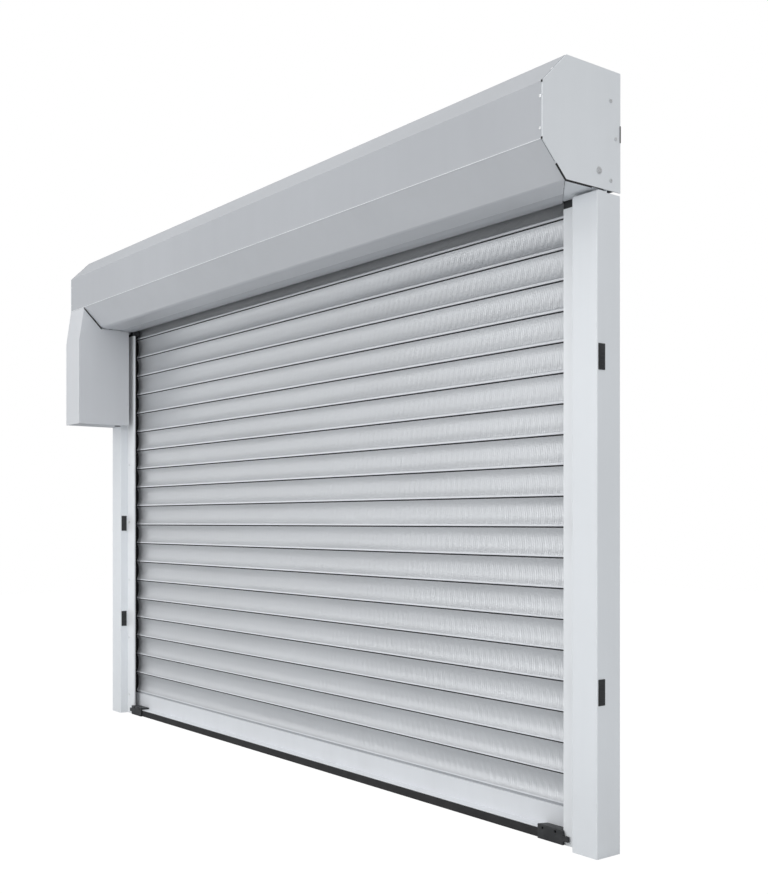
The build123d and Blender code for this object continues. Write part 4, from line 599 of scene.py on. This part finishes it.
def softened_copy(
    shop: Workshop,
    node: str,
    width: float,
    segments: int = 2,
    reshape: Callable[[bpy.types.Object], None] | None = None,
) -> bpy.types.Object:
    """A copy of a CAD node with its edges rounded, which stands for the node.

    Args:
        shop: The workshop.
        node: The CAD node.
        width: Width of the rounding in metres.
        segments: Steps across the rounding.
        reshape: Called in edit mode before the rounding, to work on the copy.

    Returns:
        The new piece.
    """
    source = shop.frame["nodes"][node]
    piece = bpy.data.objects.new(f"{node}_finished", source.data.copy())
    bpy.context.scene.collection.objects.link(piece)
    activate(piece)
    bpy.ops.object.mode_set(mode="EDIT")
    bpy.ops.mesh.select_all(action="SELECT")
    bpy.ops.mesh.select_mode(type="VERT")
    bpy.ops.mesh.remove_doubles(threshold=MERGE_REACH)
    bpy.ops.mesh.dissolve_limited(angle_limit=FLAT_ANGLE)
    bpy.ops.mesh.customdata_custom_splitnormals_clear()
    if reshape is not None:
        reshape(piece)
    bpy.ops.object.mode_set(mode="OBJECT")
    round_edges(piece, width, segments)
    level_normals(piece)
    shop.dress(piece, node)
    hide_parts(node)
    LOG.info("finished %s: %d faces", node, len(piece.data.polygons))
    return piece


def pick_faces(piece: bpy.types.Object, test: Callable[[Vector, Vector], bool]) -> None:
    """Selects the faces of the piece in edit mode that pass a test.

    Args:
        piece: The piece, in edit mode.
        test: Says yes or no to a face's middle and normal.
    """
    bpy.ops.mesh.select_mode(type="FACE")
    bpy.ops.mesh.select_all(action="DESELECT")
    mesh = bmesh.from_edit_mesh(piece.data)
    for face in mesh.faces:
        face.select_set(test(face.calc_center_median(), face.normal))
    bmesh.update_edit_mesh(piece.data)


def prism(name: str, outline: Sequence[Sequence[float]], sweep: Sequence[float]) -> bpy.types.Object:
    """Draws a closed outline from point to point, fills it and extrudes it.

    Args:
        name: Name of the new piece.
        outline: Corners of the outline in metres.
        sweep: Vector of the extrusion.

    Returns:
        The new piece, in object mode.
    """
    deselect()
    bpy.ops.mesh.primitive_plane_add(size=MM, location=outline[0])
    piece = bpy.context.object
    piece.name = name
    settle(piece)
    bpy.ops.object.mode_set(mode="EDIT")
    bpy.ops.mesh.select_mode(type="VERT")
    bpy.ops.mesh.select_all(action="SELECT")
    bpy.ops.mesh.merge(type="CENTER")
    for here, after in zip(outline, outline[1:]):
        step = Vector(after) - Vector(here)
        bpy.ops.mesh.extrude_region_move(TRANSFORM_OT_translate={"value": step})
    bpy.ops.mesh.select_all(action="SELECT")
    bpy.ops.mesh.edge_face_add()
    bpy.ops.mesh.extrude_region_move(TRANSFORM_OT_translate={"value": sweep})
    bpy.ops.mesh.select_all(action="SELECT")
    bpy.ops.mesh.normals_make_consistent(inside=False)
    bpy.ops.object.mode_set(mode="OBJECT")
    return piece


def copy_moved(source: bpy.types.Object, name: str, matrix: Matrix) -> bpy.types.Object:
    """Copies a piece with a mesh of its own and moves the mesh.

    Args:
        source: The piece to copy.
        name: Name of the copy.
        matrix: The move.

    Returns:
        The copy.
    """
    piece = bpy.data.objects.new(name, source.data.copy())
    piece.data.transform(matrix)
    bpy.context.scene.collection.objects.link(piece)
    return piece


def join(pieces: Sequence[bpy.types.Object], name: str) -> bpy.types.Object:
    """Joins pieces into the first one.

    Args:
        pieces: The pieces.
        name: Name of the result.

    Returns:
        The joined piece.
    """
    activate(pieces[0])
    for piece in pieces:
        piece.select_set(True)
    bpy.ops.object.join()
    pieces[0].name = name
    return pieces[0]


@dataclass(frozen=True)
class Fastener:
    """One screw, bolt or rivet, modelled head up at the origin, and set wherever it is needed."""

    kind: HeadKind
    radius: float
    height: float
    shank: float
    length: float
    steps: int = 28

    def model(self) -> bpy.types.Object:
        """Models the fastener.

        Returns:
            The piece, with its head on the plane Z = 0 and its shank below.
        """
        deselect()
        sides = 6 if self.kind is HeadKind.HEX else self.steps
        bpy.ops.mesh.primitive_cylinder_add(
            vertices=sides, radius=self.radius, depth=self.height, location=(0, 0, self.height / 2)
        )
        piece = bpy.context.object
        settle(piece)
        bpy.ops.object.mode_set(mode="EDIT")
        pick_faces(piece, lambda middle, normal: normal.z < -0.9)
        bpy.ops.mesh.inset(thickness=self.radius - self.shank)
        bpy.ops.mesh.extrude_region_move(TRANSFORM_OT_translate={"value": (0, 0, -self.length)})
        pick_faces(piece, lambda middle, normal: normal.z > 0.9)
        if self.kind is HeadKind.DOME:
            for share in (0.72, 0.5, 0.3):
                bpy.ops.mesh.inset(thickness=self.radius * 0.2)
                bpy.ops.transform.translate(value=(0, 0, self.height * share * 0.5))
        else:
            bpy.ops.mesh.inset(thickness=self.radius * 0.16)
            bpy.ops.transform.translate(value=(0, 0, self.height * 0.16))
        bpy.ops.object.mode_set(mode="OBJECT")
        if self.kind is HeadKind.CROSS:
            self.cut_recess(piece)
        smooth(piece)
        return piece

    def cut_recess(self, piece: bpy.types.Object) -> None:
        """Cuts the cross recess into the head.

        Args:
            piece: The fastener.
        """
        for name, size in (("recess_a", (1.3, 0.3)), ("recess_b", (0.3, 1.3))):
            deselect()
            bpy.ops.mesh.primitive_cube_add(size=1, location=(0, 0, self.height * 1.1))
            cutter = bpy.context.object
            cutter.scale = (self.radius * size[0], self.radius * size[1], self.height)
            settle(cutter)
            cut = piece.modifiers.new(name, "BOOLEAN")
            cut.operation = "DIFFERENCE"
            cut.object = cutter
            apply_modifiers(piece)
            bpy.data.objects.remove(cutter, do_unlink=True)

    def set_at(self, name: str, spots: Sequence[tuple[Sequence[float], Sequence[float]]]) -> bpy.types.Object:
        """Sets copies of the fastener at places, each with the way its head looks.

        Args:
            name: Name of the joined piece.
            spots: Place of the head's seat, and outward direction, of each.

        Returns:
            All of them as one piece.
        """
        pattern = self.model()
        copies = []
        for place, outward in spots:
            turn = Vector((0, 0, 1)).rotation_difference(Vector(outward).normalized())
            matrix = Matrix.Translation(place) @ turn.to_matrix().to_4x4()
            copies.append(copy_moved(pattern, name, matrix))
        bpy.data.objects.remove(pattern, do_unlink=True)
        return join(copies, name)


@dataclass
class Guides:
    """Box tubes with lip channels, their strips, funnels, plugs, brackets and screws."""

    shop: Workshop
    screw_x: float = 1.2435
    lip_y: float = -0.0505
    screw_heights: tuple[float, ...] = tuple(round(0.077 + 0.2385 * step, 4) for step in range(7))
    screw: Fastener = Fastener(HeadKind.CROSS, 0.004, 0.0018, 0.0018, 0.016)

    def build(self) -> None:
        """Makes all of the guides' pieces."""
        for node in ("right_guide_tube", "left_guide_tube"):
            softened_copy(self.shop, node, 0.0006)
        for node in ("right_guide_channel", "left_guide_channel"):
            softened_copy(self.shop, node, 0.0005)
        softened_copy(self.shop, "sliding_strips", 0.0004)
        softened_copy(self.shop, "entry_funnels", 0.0012)
        softened_copy(self.shop, "slot_plugs", 0.0004)
        softened_copy(self.shop, "guide_head_brackets", 0.0004)
        softened_copy(self.shop, "guide_head_bolts", 0.0004)
        self.build_screws()

    def build_screws(self) -> None:
        """Sets the cross-recess screws of the sliding strips."""
        spots = [
            ((side.value * self.screw_x, self.lip_y, height), (0, -1, 0))
            for side in Side
            for height in self.screw_heights
        ]
        piece = self.screw.set_at("guide_screws_finished", spots)
        self.shop.dress(piece, "guide_screws")
        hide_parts("guide_screws")
        LOG.info("guide screws: %d", len(spots))


@dataclass
class Curtain:
    """Slats hooked into each other, with their end locks, dark joint strips of painted shade and lip bands of
    painted highlight.
    """

    shop: Workshop
    count: int = 21
    pitch: float = 0.077
    first: float = 0.09
    half: float = 1.2365
    lip_face: float = -0.020
    step_face: float = -0.0188
    lip_height: float = 0.0062
    shoulder: float = 0.0732
    hollow: float = 0.0064
    hollow_power: float = 2.6
    back_face: float = -0.009
    back_crown: float = 0.004
    tongue: float = -0.0138
    tongue_half: float = 0.0008
    bead: float = 0.0018
    bead_rise: float = 0.0075
    steps: int = 22
    back_steps: int = 8

    def front_line(self) -> list[Point]:
        """Draws the concave front.

        Returns:
            Points (y, z) from the lip's step up to the shoulder.
        """
        low = self.lip_height + 0.0008
        high = self.shoulder - 0.0009
        points = []
        for index in range(self.steps + 1):
            share = index / self.steps
            depth = 1 - abs(2 * share - 1) ** self.hollow_power
            points.append((self.step_face + self.hollow * depth, low + (high - low) * share))
        return points

    def back_line(self) -> list[Point]:
        """Draws the crowned back.

        Returns:
            Points (y, z) from the shoulder down to the bottom edge.
        """
        points = []
        for index in range(self.back_steps + 1):
            share = 1 - index / self.back_steps
            depth = 1 - (2 * share - 1) ** 2
            points.append((self.back_face + self.back_crown * depth, self.shoulder * share))
        return points

    def tongue_line(self) -> list[Point]:
        """Draws the tongue and its bead.

        Returns:
            Points (y, z) from front to back.
        """
        centre = self.pitch + self.bead_rise
        points = [(self.tongue - self.tongue_half, self.shoulder)]
        for angle in range(-120, 121, 30):
            turn = math.radians(angle)
            points.append((self.tongue + self.bead * math.sin(turn), centre + self.bead * math.cos(turn)))
        points.append((self.tongue + self.tongue_half, self.shoulder))
        return points

    def section(self) -> list[tuple[float, float, float]]:
        """Draws the whole outline of the lowest slat.

        Returns:
            Points at the slat's left end.
        """
        lip = [
            (self.back_face, 0.0),
            (self.lip_face + 0.0005, 0.0),
            (self.lip_face, 0.0005),
            (self.lip_face, self.lip_height - 0.0005),
            (self.lip_face + 0.0003, self.lip_height),
        ]
        crest = [(self.step_face + 0.0003, self.shoulder - 0.0003), (self.step_face + 0.0009, self.shoulder)]
        outline = [*lip, *self.front_line(), *crest, *self.tongue_line(), *self.back_line()[:-1]]
        return [(-self.half, y, self.first + z) for y, z in outline]

    def build(self) -> None:
        """Makes every slat, its locks, the dark strip of painted shade in its joint and the lighter band of
        painted highlight on its lip.
        """
        slat = prism("slat_pattern", self.section(), (2 * self.half, 0, 0))
        smooth(slat, 25)
        locks = self.lock_pattern()
        strip = self.joint_shade_pattern()
        band = self.lip_highlight_pattern()
        for number in range(1, self.count + 1):
            node = f"slat_{number:02d}"
            shift = Matrix.Translation((0, 0, self.pitch * (number - 1)))
            body = copy_moved(slat, f"{node}_profile", shift)
            self.shop.dress(body, node)
            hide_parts(node)
            self.shop.dress(copy_moved(locks, f"{node}_end_locks", shift), node, "black_plastic")
            # painted shade: a black strip fills the joint gap, where there is only shadow
            self.shop.dress(copy_moved(strip, f"{node}_joint_strip", shift), node, "black_rubber")
            # painted highlight: the lip band takes the bar's lighter coat so that the lip reads brighter than
            # the slat
            self.shop.dress(copy_moved(band, f"{node}_lip_band", shift), node, "bar_aluminium")
        for pattern in (slat, locks, strip, band):
            bpy.data.objects.remove(pattern, do_unlink=True)
        LOG.info("slats: %d", self.count)

    def lock_pattern(self) -> bpy.types.Object:
        """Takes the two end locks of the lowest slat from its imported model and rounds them.

        Returns:
            Both locks as one piece.
        """
        source = self.shop.frame["nodes"]["slat_01"]
        piece = copy_moved(source, "lock_pattern", Matrix.Identity(4))
        activate(piece)
        bpy.ops.object.mode_set(mode="EDIT")
        bpy.ops.mesh.select_mode(type="VERT")
        bpy.ops.mesh.select_all(action="DESELECT")
        mesh = bmesh.from_edit_mesh(piece.data)
        for vertex in mesh.verts:
            vertex.select_set(abs(abs(vertex.co.x) - self.half) < 0.0001)
        bmesh.update_edit_mesh(piece.data)
        bpy.ops.mesh.delete(type="VERT")
        bpy.ops.mesh.select_all(action="SELECT")
        bpy.ops.mesh.remove_doubles(threshold=MERGE_REACH)
        bpy.ops.mesh.dissolve_limited(angle_limit=FLAT_ANGLE)
        bpy.ops.mesh.customdata_custom_splitnormals_clear()
        bpy.ops.object.mode_set(mode="OBJECT")
        round_edges(piece, 0.0006)
        smooth(piece)
        return piece

    def lip_highlight_pattern(self) -> bpy.types.Object:
        """Models the smooth band along the lowest slat's lip that carries a painted highlight in a lighter
        coat than the slat.

        Returns:
            The band.
        """
        face = self.lip_face
        low = self.first + 0.0004
        high = self.first + self.lip_height - 0.0002
        outline = [
            (face + 0.0012, low),
            (face - 0.0001, low),
            (face - 0.0003, low + 0.0012),
            (face + 0.0001, high - 0.0009),
            (face + 0.0006, high),
            (face + 0.0012, high),
        ]
        piece = prism("lip_highlight_pattern", [(-self.half, y, z) for y, z in outline], (2 * self.half, 0, 0))
        smooth(piece, 40)
        return piece

    def joint_shade_pattern(self) -> bpy.types.Object:
        """Models the dark strip before the lowest slat's tongue, painted shade that fills the shadowed gap
        under the next slat.

        Returns:
            The strip.
        """
        front = self.tongue - self.tongue_half - 0.0011
        back = self.tongue - self.tongue_half
        low = self.first + self.shoulder
        high = self.first + self.pitch + 0.0008
        middle = (low + high) / 2
        outline = [(front, low), (front - 0.0004, middle), (front, high), (back, high), (back, low)]
        half = self.half - 0.001
        return prism("joint_shade_pattern", [(-half, y, z) for y, z in outline], (2 * half, 0, 0))


@dataclass
class BottomRail:
    """Bottom bar, rubber seal, end stops and their screws."""

    shop: Workshop
    stop_screw: Fastener = Fastener(HeadKind.CROSS, 0.0032, 0.0034, 0.0016, 0.0108)
    stop_screw_seat: float = -0.030
    stop_screw_z: float = 0.029
    stop_screw_x: tuple[float, float] = (1.1385, 1.182)
    recess_half: float = 1.2355
    recess_outline: tuple[Point, ...] = (
        (-0.0158, 0.083), (-0.0162, 0.0865), (-0.0158, 0.0908), (-0.0147, 0.0908), (-0.0147, 0.083),
    )

    def build(self) -> None:
        """Makes the bar's pieces."""
        softened_copy(self.shop, "bottom_bar", 0.0009, 3)
        softened_copy(self.shop, "bottom_seal", 0.0009)
        softened_copy(self.shop, "end_stops", 0.0012, 3)
        spots = [
            ((side.value * x, self.stop_screw_seat, self.stop_screw_z), (0, -1, 0))
            for side in Side
            for x in self.stop_screw_x
        ]
        self.build_recess_shade_strip()
        piece = self.stop_screw.set_at("end_stop_screws_finished", spots)
        self.shop.dress(piece, "end_stop_screws")
        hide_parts("end_stop_screws")
        LOG.info("bottom rail with %d stop screws", len(spots))

    def build_recess_shade_strip(self) -> None:
        """Adds the grey strip of painted shade in the recess between the bar and the lowest slat."""
        corners = [(-self.recess_half, y, z) for y, z in self.recess_outline]
        piece = prism("bar_recess_shade_strip", corners, (2 * self.recess_half, 0, 0))
        # painted shade: the darker housing coat stands in for the shadow in the recess
        self.shop.dress(piece, "bottom_bar", "housing_sheet")
        LOG.info("bar recess strip")


@dataclass
class Housing:
    """Folded sheets between the end plates, with rivets, screws and trims."""

    shop: Workshop
    rivet: Fastener = Fastener(HeadKind.DOME, 0.0034, 0.0005, 0.0016, 0.003)
    rivet_x: float = 1.332
    box_front: float = -0.265
    chamfer: float = 0.078
    box_low: float = 1.58
    box_high: float = 1.866
    rivet_drop: float = 0.033
    rivet_rise: float = 0.025
    fold_reach: float = 0.003
    fold_width: float = 0.011
    fold_steps: int = 6
    seam_x: float = 1.3356
    seam_width: float = 0.0015
    seam_sink: float = 0.0009
    seam_rise: float = 0.3
    hem_half: float = 1.3352

    def build(self) -> None:
        """Makes the housing's pieces."""
        softened_copy(self.shop, "box_fascia", 0.0005)
        softened_copy(self.shop, "inspection_panel", 0.0004, reshape=self.ease_fold)
        softened_copy(self.shop, "inlet_rail", 0.0004)
        softened_copy(self.shop, "box_back_plate", 0.0003)
        for node in ("right_end_plate", "left_end_plate"):
            softened_copy(self.shop, node, 0.0006)
        softened_copy(self.shop, "end_plate_trim", 0.0005)
        softened_copy(self.shop, "end_plate_screws", 0.0005)
        softened_copy(self.shop, "box_wall_brackets", 0.0004)
        self.build_rivets()
        self.build_seam_shades()
        self.build_hem_highlight()

    def ease_fold(self, piece: bpy.types.Object) -> None:
        """Turns the panel's sharp fold between slope and underside into a wide bend.

        Args:
            piece: The panel's copy, in edit mode.
        """
        bpy.ops.mesh.select_mode(type="EDGE")
        bpy.ops.mesh.select_all(action="DESELECT")
        mesh = bmesh.from_edit_mesh(piece.data)
        fold_y, fold_z = self.box_front + self.chamfer, self.box_low
        for edge in mesh.edges:
            ends = [vertex.co for vertex in edge.verts]
            along = abs(ends[0].x - ends[1].x) > 10 * self.fold_reach
            near = all(math.hypot(end.y - fold_y, end.z - fold_z) < self.fold_reach for end in ends)
            edge.select_set(along and near)
        bmesh.update_edit_mesh(piece.data)
        bpy.ops.mesh.bevel(offset=self.fold_width, segments=self.fold_steps, affect="EDGES")

    def build_seam_shades(self) -> None:
        """Adds the dark strip of painted shade at the seam between the fascia's slopes and each end plate."""
        front, high, depth = self.box_front, self.box_high, self.chamfer
        low, lean = self.box_low, self.seam_sink
        slopes = (
            ((front, high - depth), (front + depth - lean, high - lean), (-1, 1)),
            ((front, low + depth), (front + depth * 0.55, low + depth * 0.45), (-1, -1)),
        )
        for side in Side:
            for index, ((y0, z0), (y1, z1), (way_y, way_z)) in enumerate(slopes):
                rise_y, rise_z = way_y * lean * self.seam_rise, way_z * lean * self.seam_rise
                sink_y, sink_z = -way_y * lean, -way_z * lean
                outline = [
                    (y0 + rise_y, z0 + rise_z),
                    (y1 + rise_y, z1 + rise_z),
                    (y1 + sink_y, z1 + sink_z),
                    (y0 + sink_y, z0 + sink_z),
                ]
                start = side.value * self.seam_x
                piece = prism(
                    f"end_seam_shade_{side.name.lower()}_{index}",
                    [(start, y, z) for y, z in outline],
                    (side.value * self.seam_width, 0, 0),
                )
                # painted shade: a dark strip stands in for the shadow in the seam's gap
                self.shop.dress(piece, "box_fascia", "cast_housing")
        LOG.info("end seams: %d", 2 * len(slopes))

    def build_hem_highlight(self) -> None:
        """Adds the folded hem along the fascia's lower front edge, in a lighter coat than the fascia as a
        painted highlight.
        """
        y, z = self.box_front, self.box_low + self.chamfer
        outline = [
            (y + 0.0002, z + 0.0014),
            (y - 0.0006, z + 0.0010),
            (y - 0.0008, z + 0.0002),
            (y - 0.0004, z - 0.0006),
            (y + 0.0004, z - 0.0006),
        ]
        corners = [(-self.hem_half, *corner) for corner in outline]
        piece = prism("fascia_hem_highlight", corners, (2 * self.hem_half, 0, 0))
        smooth(piece, 50)
        # painted highlight: the hem is real, its coat is lighter than the fascia's sheet to show the bright
        # edge line
        self.shop.dress(piece, "box_fascia", "lip_aluminium")
        LOG.info("fascia hem")

    def build_rivets(self) -> None:
        """Sets the domed rivets of the fascia."""
        lean = math.sqrt(0.5)
        front_high = self.box_high - self.chamfer
        front_low = self.box_low + self.chamfer
        spots = []
        for side in Side:
            x = side.value * self.rivet_x
            spots.append(((x, self.box_front, front_high - self.rivet_drop), (0, -1, 0)))
            spots.append(((x, self.box_front, front_low + self.rivet_rise), (0, -1, 0)))
            place = (x, self.box_front + self.chamfer / 2, front_high + self.chamfer / 2)
            spots.append((place, (0, -lean, lean)))
        piece = self.rivet.set_at("fascia_rivets_finished", spots)
        self.shop.dress(piece, "fascia_rivets")
        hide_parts("fascia_rivets")
        LOG.info("fascia rivets: %d", len(spots))


@dataclass
class Drive:
    """Barrel, hangers, sprockets and chain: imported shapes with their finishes."""

    shop: Workshop
    nodes: tuple[str, ...] = (
        "barrel_tube", "idler_end_plug", "drive_end_plug", "barrel_bearings", "curtain_hangers",
        "hanger_screws", "barrel_sprocket", "drive_sprocket", "drive_chain",
    )

    def build(self) -> None:
        """Dresses the drive's pieces."""
        self.shop.carry(self.nodes)


@dataclass
class Operator:
    """Motor and gearbox on their bracket, under the folded cover."""

    shop: Workshop
    cover_inner: float = -1.2085
    edge_strip: float = 0.0046
    edge_thick: float = 0.0024
    edge_proud: float = 0.0006
    edge_line: tuple[Point, Point] = ((-0.265, 1.6565), (-0.1878, 1.5788))

    def build(self) -> None:
        """Makes the operator's pieces."""
        softened_copy(self.shop, "operator_cover", 0.0005)
        softened_copy(self.shop, "operator_bracket", 0.0004)
        softened_copy(self.shop, "operator_gearbox", 0.0015, 3)
        softened_copy(self.shop, "operator_motor", 0.0006)
        softened_copy(self.shop, "operator_screws", 0.0005)
        softened_copy(self.shop, "cable_gland", 0.0007)
        self.build_edge_strip()

    def build_edge_strip(self) -> None:
        """Adds the black strip along the sloping top edge of the cover's inner side."""
        (y0, z0), (y1, z1) = self.edge_line
        drop = self.edge_strip / math.sqrt(2)
        outline = [(y0, z0), (y1, z1), (y1 - drop, z1 - drop), (y0 + drop * 0.2, z0 - drop * 1.8)]
        start = self.cover_inner - self.edge_thick + self.edge_proud
        corners = [(start, y, z) for y, z in outline]
        piece = prism("cover_edge_strip", corners, (self.edge_thick, 0, 0))
        round_edges(piece, 0.0004)
        smooth(piece)
        self.shop.dress(piece, "operator_cover", "black_rubber")
        LOG.info("cover edge strip")


@dataclass
class Studio:
    """Pale floor, white surroundings and soft lamps: name, place, aim, size and power of each."""

    floor_half: float = 9.0
    floor_z: float = -0.001
    floor_glow: float = 1.06
    floor_white: float = 0.95
    world_level: float = 0.48
    lamps: tuple[tuple[str, tuple[float, float, float], tuple[float, float, float], float, float], ...] = (
        ("front_lamp", (-0.9, -5.0, 1.5), (0, 0, 0.9), 3.4, 68.0),
        ("left_lamp", (-5.2, -3.8, 1.0), (0, 0, 0.8), 2.8, 22.0),
        ("right_lamp", (8.6, -3.0, 2.2), (0.0, 0, 0.9), 5.0, 180.0),
        ("top_lamp", (0.0, -2.2, 5.4), (0, -0.2, 1.6), 4.0, 125.0),
        ("rear_lamp", (0.5, 4.5, 3.2), (0, 0, 1.0), 4.0, 70.0),
    )

    def make(self) -> None:
        """Builds the floor, the world and the lamps."""
        self.make_world()
        self.make_floor()
        for name, place, aim, size, power in self.lamps:
            self.make_lamp(name, place, aim, size, power)

    def make_world(self) -> None:
        """Even light, and plain white for what the camera sees."""
        scene = bpy.context.scene
        scene.view_settings.view_transform = "Standard"
        world = bpy.data.worlds.new("studio")
        world.use_nodes = True
        scene.world = world
        tree = world.node_tree
        light = tree.nodes["Background"]
        light.inputs["Color"].default_value = (0.97, 0.985, 1.0, 1)
        light.inputs["Strength"].default_value = self.world_level
        white = tree.nodes.new("ShaderNodeBackground")
        white.inputs["Color"].default_value = (1, 1, 1, 1)
        rays = tree.nodes.new("ShaderNodeLightPath")
        mix = tree.nodes.new("ShaderNodeMixShader")
        tree.links.new(rays.outputs["Is Camera Ray"], mix.inputs[0])
        tree.links.new(light.outputs[0], mix.inputs[1])
        tree.links.new(white.outputs[0], mix.inputs[2])
        tree.links.new(mix.outputs[0], tree.nodes["World Output"].inputs["Surface"])

    def make_floor(self) -> None:
        """A pale floor that the camera sees as white and that lights the door from below."""
        deselect()
        bpy.ops.mesh.primitive_plane_add(size=2 * self.floor_half, location=(0, 0, self.floor_z))
        floor = bpy.context.object
        floor.name = "studio_floor"
        settle(floor)
        graph = NodeGraph("studio_floor")
        graph.plain(Base_Color=(0.50, 0.51, 0.52, 1), Roughness=0.9)
        glow = graph.add("Emission")
        glow.inputs["Color"].default_value = (1, 1, 1, 1)
        glow.inputs["Strength"].default_value = self.floor_glow
        rays = graph.add("LightPath")
        share = graph.add("Math", operation="MULTIPLY")
        share.inputs[1].default_value = self.floor_white
        graph.link(rays.outputs["Is Camera Ray"], share.inputs[0])
        mix = graph.add("MixShader")
        graph.link(share.outputs[0], mix.inputs[0])
        graph.link(graph.shader.outputs[0], mix.inputs[1])
        graph.link(glow.outputs[0], mix.inputs[2])
        output = graph.tree.nodes["Material Output"]
        graph.link(mix.outputs[0], output.inputs["Surface"])
        floor.data.materials.append(graph.material)

    @staticmethod
    def make_lamp(
        name: str, place: Sequence[float], aim: Sequence[float], size: float, power: float
    ) -> None:
        """Adds one square soft lamp.

        Args:
            name: Name of the lamp.
            place: Where it stands.
            aim: The point that it looks at.
            size: Its side in metres.
            power: Its power in watts.
        """
        data = bpy.data.lights.new(name, "AREA")
        data.shape = "SQUARE"
        data.size = size
        data.energy = power
        lamp = bpy.data.objects.new(name, data)
        lamp.location = place
        lamp.rotation_euler = (Vector(aim) - Vector(place)).to_track_quat("-Z", "Y").to_euler()
        bpy.context.scene.collection.objects.link(lamp)


def main() -> None:
    """Builds the scene in order."""
    logging.basicConfig(level=logging.INFO, format="%(name)s: %(message)s")
    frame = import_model()
    shop = Workshop(frame)
    for kind in (Guides, Curtain, BottomRail, Housing, Drive, Operator):
        LOG.info("building %s", kind.__name__)
        kind(shop).build()
    PhotoView().make_camera()
    Studio().make()


if __name__ == "__main__":
    main()
